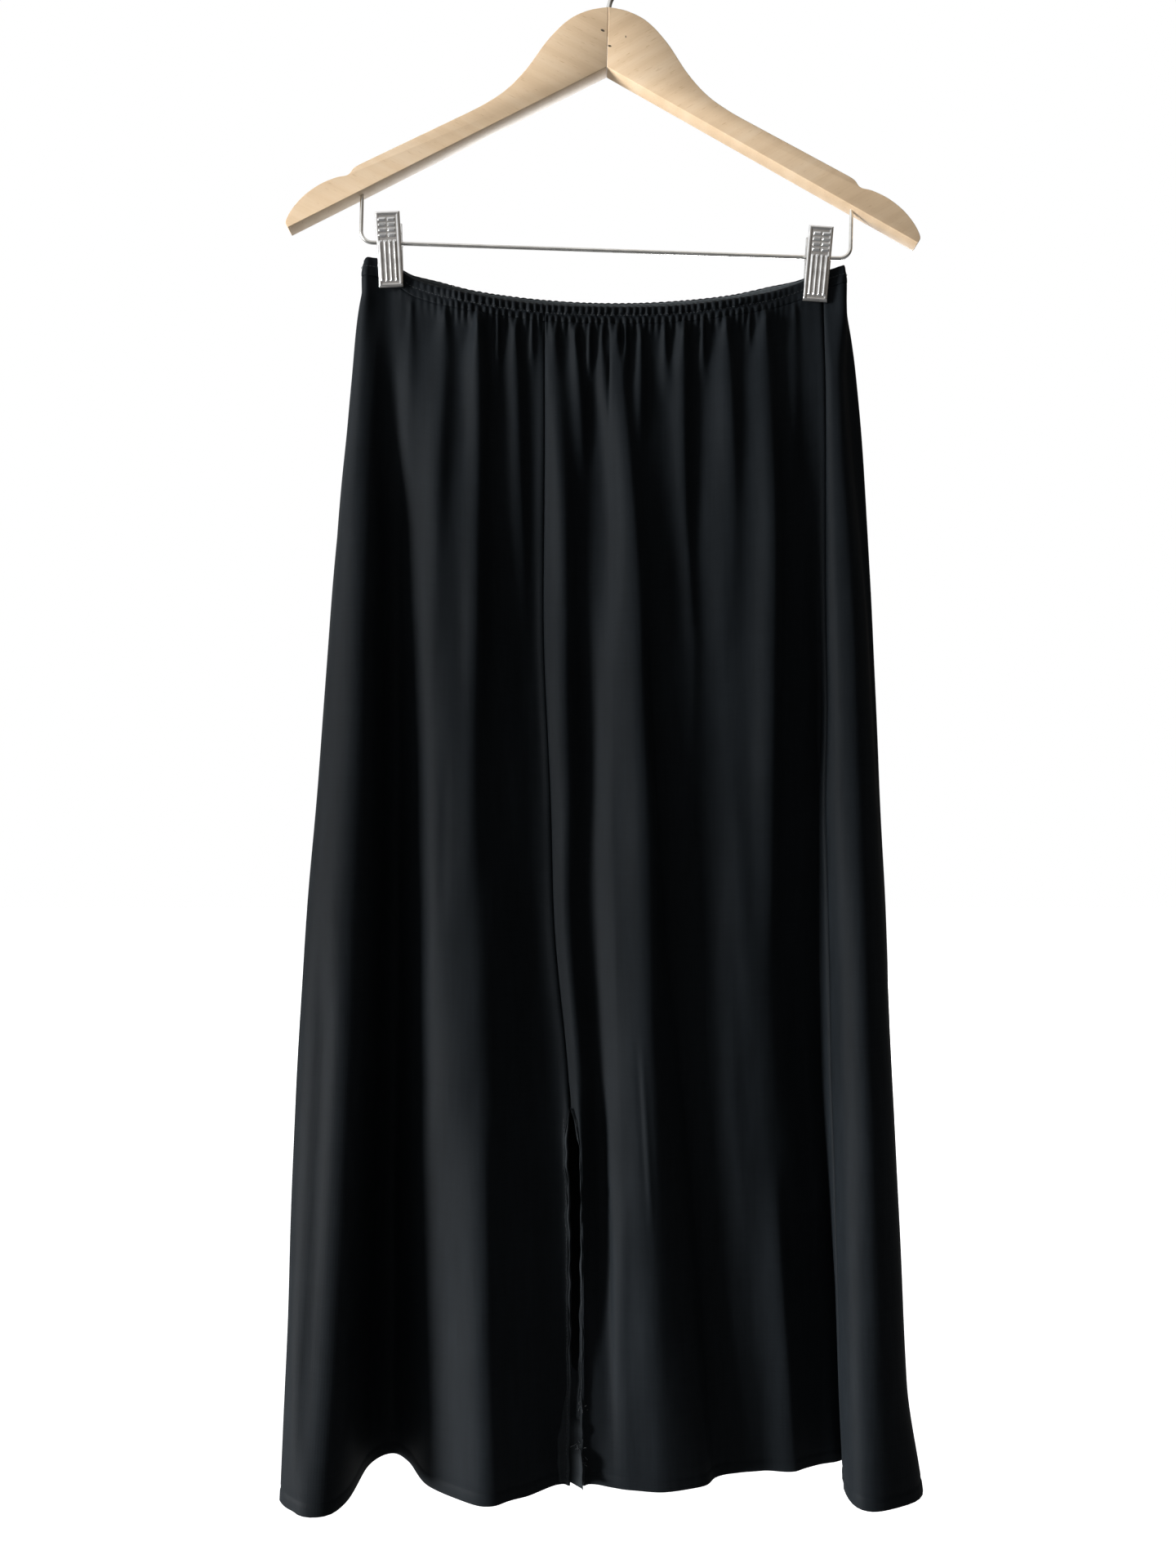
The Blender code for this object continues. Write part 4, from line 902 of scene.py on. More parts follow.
@dataclass(frozen=True)
class ClothFinish:
    """A dark woven cloth with a soft sheen."""

    name: str
    dark: Triple
    light: Triple
    roughness: float
    specular: float
    sheen: float
    sheen_tint: Triple
    threads_per_mm: float
    bump: float

    def build(self, weave: bpy.types.NodeTree) -> Material:
        """Return the cloth's material."""
        graph, shader, material = finish_start(self.name)
        uv = graph.add("ShaderNodeUVMap", uv_map="cloth").outputs[0]
        threads = place_group(graph, weave, uv, 1000.0 * self.threads_per_mm)
        spots = graph.spots()
        broad = graph.noise(spots, 9.0, 3.0)
        streaks = graph.noise(graph.stretch(spots, (230.0, 230.0, 18.0)), 1.0, 4.0, 0.6)
        shade = graph.blend((threads.outputs["Uneven"], 0.45), (broad, 0.275), (streaks, 0.275))
        colour = graph.ramp(shade, [(0.38, self.dark), (0.62, self.light)])
        graph.join(colour, shader.inputs["Base Color"])
        graph.join(graph.range(shade, self.roughness - 0.06, self.roughness + 0.06),
                   shader.inputs["Roughness"])
        preset(shader, Specular_IOR_Level=self.specular, Sheen_Weight=self.sheen,
               Sheen_Roughness=0.42, Sheen_Tint=(*self.sheen_tint, 1.0))
        height = graph.blend((threads.outputs["Height"], 1.0), (threads.outputs["Uneven"], 0.8))
        graph.join(graph.bump(height, self.bump, 0.00012), shader.inputs["Normal"])
        return material


@dataclass(frozen=True)
class WoodFinish:
    """Pale lacquered wood with its grain along the arm."""

    name: str
    grain_turn: float

    def build(self) -> Material:
        """Return the wood's material."""
        graph, shader, material = finish_start(self.name)
        spots = graph.spots()
        turn = self.grain_turn
        broad = graph.noise(graph.stretch(spots, (6.0, 30.0, 42.0), turn), 1.0, 4.0, 0.55)
        rings = graph.wave(graph.stretch(spots, (0.5, 5.0, 9.0), turn), "Z", 3.0, 4.0, 2.0)
        fibre = graph.noise(graph.stretch(spots, (26.0, 700.0, 900.0), turn), 1.0, 2.0, 0.6)
        flecks = graph.noise(graph.stretch(spots, (150.0, 900.0, 1500.0), turn), 1.0, 1.0)
        tone = graph.blend((broad, 0.64), (rings, 0.1), (fibre, 0.26))
        colour = graph.ramp(tone, [(0.28, (0.66, 0.475, 0.30)), (0.5, (0.74, 0.55, 0.36)),
                                   (0.74, (0.80, 0.625, 0.44))])
        fleck_mask = graph.ramp(flecks, [(0.66, WHITE), (0.74, (0.72, 0.62, 0.5))])
        mixed = preset(graph.add("ShaderNodeMix", data_type="RGBA", blend_type="MULTIPLY"),
                       Factor=0.55)
        graph.join(colour, mixed.inputs["A"])
        graph.join(fleck_mask, mixed.inputs["B"])
        graph.join(mixed.outputs["Result"], shader.inputs["Base Color"])
        graph.join(graph.range(broad, 0.42, 0.56), shader.inputs["Roughness"])
        preset(shader, Specular_IOR_Level=0.35, Coat_Roughness=0.35, Coat_Weight=0.15)
        graph.join(graph.bump(fibre, 0.25, 0.00015), shader.inputs["Normal"])
        return material


@dataclass(frozen=True)
class SteelFinish:
    """Bright plated steel, a little handled."""

    name: str
    colour: Triple
    roughness: float

    def build(self, wear: bpy.types.NodeTree) -> Material:
        """Return the steel's material."""
        graph, shader, material = finish_start(self.name)
        marks = place_group(graph, wear, graph.spots(), 420.0)
        low = tuple(value * 0.86 for value in self.colour)
        colour = graph.ramp(marks.outputs["Smear"], [(0.35, low), (0.65, self.colour)])
        graph.join(colour, shader.inputs["Base Color"])
        preset(shader, Metallic=1.0)
        graph.join(graph.range(marks.outputs["Smear"], self.roughness * 0.7, self.roughness * 1.4),
                   shader.inputs["Roughness"])
        graph.join(graph.bump(marks.outputs["Scratch"], 0.08, 0.00005), shader.inputs["Normal"])
        return material


@dataclass(frozen=True)
class Finishes:
    """Every finish of the part, as materials."""

    cloth: Material
    inside: Material
    elastic: Material
    thread: Material
    frayed: Material
    wood_left: Material
    wood_right: Material
    mark: Material
    wire: Material
    clip: Material


def build_finishes() -> Finishes:
    """Make every material once."""
    weave = weave_group()
    wear = wear_group()
    grain = math.radians(28.2)
    tip = math.radians(1.4)
    return Finishes(
        cloth=ClothFinish("black_crepe", (0.0054, 0.0069, 0.0084), (0.0090, 0.0113, 0.0137), 0.6,
                          0.05, 0.0, (0.62, 0.74, 0.86), 2.6, 0.35).build(weave),
        inside=ClothFinish("black_crepe_turned", (0.014, 0.017, 0.019), (0.024, 0.028, 0.032),
                           0.6, 0.06, 0.02, (0.62, 0.74, 0.86), 2.6, 0.35).build(weave),
        # The elastic's colour is paler than the cloth's: partly its own tone, partly painted light
        # for the room light that the casing's front keeps off it.
        elastic=ClothFinish("waist_elastic_weave", (0.022, 0.027, 0.030), (0.050, 0.060, 0.065), 0.65,
                            0.3, 0.25, (0.7, 0.78, 0.85), 1.4, 0.9).build(weave),
        thread=ClothFinish("sewing_thread", (0.010, 0.012, 0.014), (0.022, 0.025, 0.029), 0.5, 0.4,
                           0.2, (0.7, 0.78, 0.85), 3.0, 0.4).build(weave),
        frayed=ClothFinish("frayed_thread", (0.10, 0.11, 0.115), (0.28, 0.29, 0.30), 0.7, 0.3, 0.3,
                           (0.8, 0.85, 0.9), 3.0, 0.4).build(weave),
        wood_left=WoodFinish("pale_wood_left_arm", -grain + tip).build(),
        wood_right=WoodFinish("pale_wood_right_arm", grain + tip).build(),
        mark=SteelFinish("dark_nail_head", (0.16, 0.13, 0.10), 0.5).build(wear),
        wire=SteelFinish("plated_wire", (0.80, 0.79, 0.76), 0.2).build(wear),
        clip=SteelFinish("plated_clip", (0.82, 0.82, 0.82), 0.17).build(wear),
    )


@dataclass
class Span:
    """Where one panel and its casing start and end around the skirt."""

    side: str
    start: float
    end: float
    flat_waist: float
    flat_hem: float
    slit_end: int


@dataclass
class Skirt:
    """The skirt: three panels, their casings, the elastic, the slit's hems and the sewing."""

    form: SkirtForm
    finishes: Finishes
    front_column_pitch: float = 0.95
    back_column_pitch: float = 1.15
    casing_columns_per_gather: int = 7
    elastic_columns: int = 900
    frayed_seed: int = 11
    frayed_at_foot: int = 38
    frayed_above: int = 8

    def __post_init__(self) -> None:
        """Set where each panel lies."""
        index = self.form.index
        left = index["left_side_seam"] - self.form.count
        centre = index["centre_seam"]
        right = index["side_seam"]
        self.spans = (
            Span("front_left", left, centre, 300.0, 326.0, -1),
            Span("front_right", centre, right, 300.0, 290.0, 1),
            Span("back", right, left + self.form.count, 460.0, 650.0, 0),
        )
        self.slit = float(centre)

    def build(self) -> None:
        """Build every piece of the skirt."""
        sewing = self.build_sewing()
        for span in self.spans:
            extras = [self.build_casing(span)]
            if span.slit_end:
                extras.append(self.build_slit_hem(span))
            extras += sewing[span.side]
            panel = self.build_panel(span)
        elastic = self.build_elastic()

    def columns(self, span: Span) -> Array:
        """Return the places of a panel's columns, evenly along the waist."""
        pitch = self.front_column_pitch if span.slit_end else self.back_column_pitch
        return self.spread(span, pitch)

    def spread(self, span: Span, pitch: float) -> Array:
        """Return places from a panel's start to its end, about a pitch apart along the waist."""
        low = self.length_of(span.start)
        high = self.length_of(span.end)
        count = round((high - low) / pitch)
        return self.form.place_at(np.linspace(low, high, count + 1))

    def length_of(self, place: float) -> float:
        """Return the length along the waist at a place, below 0 for one before the left edge."""
        length = float(self.form.length_at(np.array([place]))[0])
        return length - self.form.girth if place < 0 else length

    def rows(self) -> Array:
        """Return a panel's drops, closer near the gathers and at the hem."""
        sizes = self.form.sizes
        under_casing = sizes.casing + np.array([-1.2, -0.2, 0.4])
        bands = ((sizes.casing + 1.2, 42.0, 1.7), (42.0, 110.0, 3.4),
                 (110.0, sizes.length - 12.0, 6.4))
        hem = np.array([10.5, 9.0, 7.8, 6.8, 5.0, 2.5, 0.8, 0.0])
        return np.concatenate([under_casing, *[np.arange(*band) for band in bands],
                               sizes.length - hem])

    def edge_distance(self, places: Array, drops: Array) -> tuple[Array, Array]:
        """Return the lengths of cloth from a panel's two side edges, as rows by columns."""
        form = self.form
        grid_place, grid_drop = np.meshgrid(places, drops)
        plan = form.plan(grid_place.ravel(), grid_drop.ravel()).reshape(*grid_place.shape, 2)
        steps = np.linalg.norm(np.diff(plan, axis=1), axis=2)
        from_start = np.concatenate([np.zeros((len(drops), 1)), np.cumsum(steps, axis=1)], axis=1)
        return from_start, from_start[:, -1:] - from_start

    def build_panel(self, span: Span) -> bpy.types.Object:
        """Build one panel: a thin wall with its seams' turned edges, its hem and its folds."""
        form = self.form
        sizes = form.sizes
        places = self.columns(span)
        drops = self.rows()
        grid_place, grid_drop = np.meshgrid(places, drops)
        flat_place = grid_place.ravel()
        flat_drop = grid_drop.ravel()
        shape = grid_place.shape
        relief = form.panel_relief(flat_place, flat_drop).reshape(shape)
        slide = np.zeros(shape)
        uv_along = form.length_at(flat_place).reshape(shape)
        for edge, away in enumerate(self.edge_distance(places, drops)):
            is_slit = span.slit_end == (-1 if edge == 1 else 1)
            seam = np.ones(shape)
            inward = 1 if edge == 0 else -1
            if is_slit:
                opened = grid_drop > sizes.slit_top
                seam = 1.0 - smoothstep((grid_drop - sizes.slit_top + 6.0) / 12.0)
                half = form.slit_half(flat_drop, span.slit_end).reshape(shape)
                slide += np.where(opened, span.slit_end * half * self.near_slit(grid_place), 0.0)
                relief += form.slit_flutter(flat_drop, away.ravel(), span.slit_end).reshape(shape)
            relief += seam * self.seam_relief(grid_drop, away, edge)
            slide += seam * inward * 0.12 * np.exp(-away / 2.0)
        relief += self.casing_tuck(grid_drop)
        outer = form.surface(flat_place, flat_drop, relief.ravel(), slide.ravel())
        inner = form.surface(flat_place, flat_drop, relief.ravel() - sizes.wall, slide.ravel())
        outer = outer.reshape(*shape, 3)
        inner = inner.reshape(*shape, 3)
        outer, inner = self.turn_edges(span, places, drops, relief, slide, outer, inner)
        uv = np.stack([uv_along, grid_drop], -1) * MM
        uv = np.concatenate([uv[:, :1], uv, uv[:, -1:]], axis=1)
        mesh = wall_mesh(f"skirt_panel_{span.side}", outer, inner, uv)
        return add_piece(mesh, self.finishes.cloth, (f"panel_{span.side}",))

    def turn_edges(self, span: Span, places: Array, drops: Array, relief: Array,
                   slide: Array, outer: Array, inner: Array
                   ) -> tuple[Array, Array]:
        """Add a column at each side that turns in, so that no gap shows through a seam.

        Args:
            span: The panel.
            places: Its columns' places.
            drops: Its rows' drops.
            relief: How far each point stands out.
            slide: How far each point is moved along.
            outer: The outer points.
            inner: The inner points.

        Returns:
            The outer and inner points with one more column at each side.
        """
        sizes = self.form.sizes
        for column, inward in ((0, 1), (-1, -1)):
            place = np.full_like(drops, places[column])
            depth = sizes.allowance
            if span.slit_end == (-1 if column == -1 else 1):
                depth = sizes.allowance * (1.0 - smoothstep((drops - sizes.slit_top + 4.0) / 8.0))
                depth = np.maximum(depth, 0.25)
            sunk = relief[:, column] - sizes.wall * 0.5 - depth
            moved = slide[:, column]
            deep = self.form.surface(place, drops, sunk, moved)[:, None]
            deeper = self.form.surface(place, drops, sunk, moved + inward * sizes.wall * 0.7)[:, None]
            outer = np.concatenate([deep, outer] if column == 0 else [outer, deep], axis=1)
            inner = np.concatenate([deeper, inner] if column == 0 else [inner, deeper], axis=1)
        return outer, inner

    def near_slit(self, place: Array) -> Array:
        """Return 1 at the slit's middle line, falling to 0 one fold away."""
        return np.clip(1.0 - np.abs(place - self.slit), 0.0, 1.0)

    def seam_relief(self, drop: Array, away: Array, edge: int) -> Array:
        """Return a seam's groove, the ridge of the cloth turned in behind it, and its puckers."""
        pucker = np.sin(drop / 2.3 + 1.3 * edge) * (0.6 + 0.4 * np.sin(drop / 19.0 + edge))
        return (-0.8 * bell(away / 1.0) + 0.2 * bell((away - 3.2) / 2.2)
                + 0.1 * pucker * np.exp(-away / 3.0))

    def casing_tuck(self, drop: Array) -> Array:
        """Return how far the panel's top edge is drawn in behind the casing's edge."""
        return -0.9 * (1.0 - smoothstep((drop - self.form.sizes.casing + 0.2) / 1.2))

    def casing_outline(self) -> list[Triple]:
        """Return the casing's loop, as drop, distance out, and share of the gathers' relief."""
        outer = [(12.7, -0.3, 1.0), (12.3, 0.08, 1.0)]
        outer += [(drop, 0.1, 1.0) for drop in (11.5, 10.6, 9.7, 8.9, 8.1, 7.4, 6.7, 6.0, 5.3, 4.6,
                                                3.9, 3.1, 2.2)]
        return outer + [(1.2, -0.05, 0.9), (0.4, -0.3, 0.7), (0.0, -0.75, 0.45), (0.5, -1.15, 0.25),
                        (3.0, -1.25, 0.1), (8.0, -1.25, 0.1), (12.4, -1.25, 0.2)]

    def build_casing(self, span: Span) -> bpy.types.Object:
        """Build the turned and gathered top of one panel."""
        form = self.form
        pitch = form.girth / form.sizes.gathers / self.casing_columns_per_gather
        places = self.spread(span, pitch)
        count = len(places) - 1
        slide = np.zeros(len(places))
        slide[0] = 0.1
        slide[-1] = -0.1
        crest = form.gather_crest(places)
        height = form.gather_height(places)
        ends = np.minimum(np.arange(count + 1), np.arange(count + 1)[::-1]) * pitch
        seam = -0.4 * bell(ends / 1.0)
        corner_away = np.min([np.abs((places % form.count) - end)
                              for end in (0, form.right_end, form.count)], axis=0)
        rings = []
        uvs = []
        for drop, out, share in self.casing_outline():
            drops = np.full(len(places), drop)
            wave = share * form.gathers(places, drops)
            lift = 0.35 * (crest - 0.5) * height * math.exp(-drop / 3.0)
            rounded = -3.0 * bell(corner_away / 0.8) * max(0.0, 1.0 - drop / 11.0) ** 2
            rings.append(form.surface(places, drops, out + wave + seam + rounded, slide, lift))
            uvs.append(np.column_stack([form.length_at(places), drops + out]) * MM)
        mesh = loop_mesh(f"skirt_casing_{span.side}", np.stack(rings)[::-1], np.stack(uvs)[::-1],
                         False)
        return add_piece(mesh, self.finishes.cloth, (f"casing_{span.side}",))

    def build_elastic(self) -> bpy.types.Object:
        """Build the elastic: a ribbed band all round the inside of the casing."""
        form = self.form
        places = form.place_at(np.linspace(0.0, form.girth, self.elastic_columns, endpoint=False))
        crest = form.gather_crest(places)
        rings = []
        uvs = []
        outline = [(10.4, -1.45), (10.4, -2.15), (8.0, -2.35), (5.0, -2.4), (2.6, -2.35),
                   (1.3, -2.15), (1.3, -1.45), (5.0, -1.4)]
        for drop, out in outline:
            drops = np.zeros(len(places))
            ribs = 0.18 * (crest - 0.5) if out < -2.0 else 0.0
            rings.append(form.surface(places, drops, out + ribs, 0.0, -drop))
            uvs.append(np.column_stack([form.length_at(places), drops + drop + out]) * MM)
        mesh = loop_mesh("skirt_waist_elastic", np.stack(rings), np.stack(uvs), True)
        return add_piece(mesh, self.finishes.elastic, ("waist_elastic",))

    def build_slit_hem(self, span: Span) -> bpy.types.Object:
        """Build the narrow turned hem along one side of the slit."""
        form = self.form
        into = span.slit_end
        drops = np.arange(form.sizes.slit_top + 1.0, form.sizes.length + 0.01, 2.2)
        unevenness = 1.0 + 0.14 * np.sin(drops / 8.3 + into) + 0.1 * np.sin(drops / 3.1)
        side = SLIT_SIDES[into]
        width = side.hem_width * unevenness
        width *= 0.35 + 0.65 * smoothstep((drops - drops[0]) / 26.0)
        width += side.foot_flare * smoothstep((drops - 755.0) / 65.0)
        tongue = 0.3 + side.foot_tongue * smoothstep((drops - 752.0) / 14.0)
        outline = [(0.0, -0.95), (-0.9, -1.75), (-1.0, -1.4), (-0.9, -1.05), (-0.04, -0.4),
                   (0.0, 0.55), (0.12, 1.15), (0.3, 0.95), (0.46, 0.3), (0.66, 0.35), (0.82, 1.0),
                   (0.95, 0.7), (1.0, 0.05), (0.9, -0.2)]
        rings = []
        uvs = []
        half = form.slit_half(drops, into)
        scale = form.scale(self.slit, drops)
        for across, out in outline:
            away = across * np.where(across < 0.0, tongue, width)
            places = self.slit + into * np.maximum(away, 0.0) / scale
            slide = into * (half * self.near_slit(places) + np.minimum(away, 0.0))
            ripple = 0.22 * np.sin(drops / 2.6 + 3.0 * across + into) * smoothstep(out + 0.4)
            relief = form.panel_relief(places, drops) + form.slit_flutter(drops, away, into)
            rings.append(form.surface(places, drops, relief + out + ripple, slide))
            uvs.append(np.column_stack([away, drops]) * MM)
        ordered = slice(None, None, 1 if into > 0 else -1)
        node = "slit_hem_left" if into < 0 else "slit_hem_right"
        mesh = loop_mesh(f"skirt_{node}", np.stack(rings)[ordered], np.stack(uvs)[ordered], False)
        return add_piece(mesh, self.finishes.inside, (node,))

    def build_sewing(self) -> dict[str, list[bpy.types.Object]]:
        """Build the stitches and the frayed threads, listed by the panel that they are on."""
        pieces: dict[str, list[bpy.types.Object]] = {}
        for span in self.spans:
            pieces[span.side] = [self.casing_stitches(span)]
            if span.slit_end:
                pieces[span.side].append(self.slit_stitches(span))
        pieces["front_right"].append(self.frayed_threads())
        return pieces

    def casing_stitches(self, span: Span) -> bpy.types.Object:
        """Build the row of stitches that holds the elastic in one casing."""
        form = self.form
        low = self.length_of(span.start)
        high = self.length_of(span.end)
        pitch = form.girth / form.sizes.gathers / 2
        lines = []
        for number in range(1, int((high - low) / pitch)):
            middle = low + number * pitch
            lengths = middle + np.array([-0.85, -0.5, 0.0, 0.5, 0.85])
            places = form.place_at(lengths)
            drops = form.sizes.stitch_drop + np.array([-0.3, -0.15, 0.0, 0.15, 0.3]) * (
                1 if number % 2 else -1)
            out = 0.1 + form.gathers(places, drops)
            sunk = np.array([-0.3, 0.02, 0.1, 0.02, -0.3])
            lines.append(form.surface(places, drops, out + sunk))
        mesh = thread_mesh(f"skirt_casing_stitches_{span.side}", lines, CASING_THREAD * MM, 5)
        return add_piece(mesh, self.finishes.thread)

    def slit_stitches(self, span: Span) -> bpy.types.Object:
        """Build the row of stitches along one of the slit's hems."""
        form = self.form
        into = span.slit_end
        lines = []
        for start in np.arange(form.sizes.slit_top + 8.0, form.sizes.length - 6.0, 3.1):
            drops = start + np.array([0.0, 0.5, 1.1, 1.7, 2.2])
            scale = form.scale(self.slit, drops)
            away = np.full(5, 3.1) + 0.2 * math.sin(start / 6.0)
            places = self.slit + into * away / scale
            slide = into * form.slit_half(drops, into) * self.near_slit(places)
            relief = form.panel_relief(places, drops) + form.slit_flutter(drops, away, into)
            lines.append(form.surface(places, drops, relief + 0.72
                                      + np.array([-0.2, 0.1, 0.16, 0.1, -0.2]), slide))
        name = "skirt_slit_stitches_left" if into < 0 else "skirt_slit_stitches_right"
        mesh = thread_mesh(name, lines, SLIT_THREAD * MM, 5)
        return add_piece(mesh, self.finishes.thread)

    def frayed_threads(self) -> bpy.types.Object:
        """Build the loose thread ends at the foot of the slit."""
        form = self.form
        chance = np.random.default_rng(self.frayed_seed)
        lines = []
        for number in range(self.frayed_at_foot + self.frayed_above):
            foot = number < self.frayed_at_foot
            drop = chance.uniform(806.0, 833.0) if foot else chance.uniform(776.0, 784.0)
            away = chance.uniform(0.2, 6.0) if foot else chance.uniform(4.2, 6.0)
            start = form.surface(np.array([self.slit + away / 17.0]), np.array([drop]),
                                 1.2 + chance.uniform(0.0, 0.9),
                                 form.slit_half(np.array([drop]), 1))[0]
            length = chance.uniform(1.5, 5.5) * MM
            heading = chance.uniform(-1.0, 1.0, 3) * np.array((1.0, 0.35, 1.0))
            heading[1] = -abs(heading[1])  # away from the cloth
            heading /= np.linalg.norm(heading)
            bend = chance.uniform(-1.0, 1.0, 3) * 0.7
            share = np.linspace(0.0, 1.0, 7)[:, None]
            lines.append(start + length * (heading * share + bend * share**2
                                           + 0.25 * np.sin(5.0 * share) * bend[::-1]))
        mesh = thread_mesh("skirt_frayed_threads", lines, FRAYED_THREAD * MM, 4)
        return add_piece(mesh, self.finishes.frayed)


@dataclass(frozen=True)
class HangerSizes:
    """The hanger in its own frame, before it tips to the right."""

    tip: float = math.radians(1.4)
    thickness: float = 13.0
    edge_radius: float = 1.1
    underside_top: float = -91.8
    underside_slope: float = -0.537
    mitre_gap: float = 0.12
    hook_wire: float = 1.75
    hook_radius: float = 18.0
    hook_start: float = math.radians(-48.0)
    hook_end: float = math.radians(196.0)
    hook_foot: float = -65.7
    wood_top: float = -50.0
    bar_wire: float = 1.3
    bar_left: float = -169.5
    bar_right: float = 174.0
    bar_left_height: float = -215.2
    bar_right_height: float = -218.3
    bar_corner: float = 8.0
    bar_seat: float = 6.0


def smooth_line(points: list[tuple[float, ...]], steps: int) -> list[tuple[float, ...]]:
    """Return a smooth open line through the points, with a number of steps between two."""
    padded = np.array([points[0], *points, points[-1]], dtype=float)
    line = []
    for number in range(len(points) - 1):
        for step in range(steps):
            weights = spline_weights(np.array(step / steps))
            line.append(tuple(sum(w * padded[number + k] for k, w in enumerate(weights))))
    line.append(tuple(padded[-1]))
    return line


def arc(centre: tuple[float, float], radius: float, start: float, end: float,
        steps: int) -> list[Triple]:
    """Return points in X and Z along an arc."""
    angles = np.linspace(start, end, steps + 1)
    return [(centre[0] + radius * math.cos(a), 0.0, centre[1] + radius * math.sin(a)) for a in angles]


def deselect() -> None:
    """Leave object mode's selection empty."""
    bpy.ops.object.select_all(action="DESELECT")


def only(piece: bpy.types.Object) -> None:
    """Make a piece the only selected and the active one."""
    deselect()
    piece.select_set(True)
    bpy.context.view_layer.objects.active = piece


def apply_modifier(piece: bpy.types.Object, kind: str, **settings: object) -> None:
    """Add a modifier to a piece with its settings, and apply it."""
    modifier = piece.modifiers.new(kind.lower(), kind)
    for name, value in settings.items():
        setattr(modifier, name, value)
    only(piece)
    bpy.ops.object.modifier_apply(modifier=modifier.name)


@contextmanager
def all_in_edit(piece: bpy.types.Object) -> Iterator[None]:
    """Keep a piece in edit mode with all of it selected."""
    only(piece)
    bpy.ops.object.mode_set(mode="EDIT")
    bpy.ops.mesh.select_all(action="SELECT")
    yield
    bpy.ops.object.mode_set(mode="OBJECT")


def smooth_to(mesh: Mesh, degrees: float) -> None:
    """Shade a mesh smooth, with edges sharper than an angle kept sharp."""
    mesh.shade_smooth()
    mesh.set_sharp_from_angle(angle=math.radians(degrees))


def linked(name: str, data: bpy.types.ID) -> bpy.types.Object:
    """Return a new object in the scene with its data."""
    piece = bpy.data.objects.new(name, data)
    bpy.context.scene.collection.objects.link(piece)
    return piece


def settle(piece: bpy.types.Object, matrix: Matrix) -> None:
    """Put a piece's place into its mesh, and leave its object at the origin."""
    piece.data.transform(matrix @ piece.matrix_basis)
    piece.matrix_basis = Matrix.Identity(4)


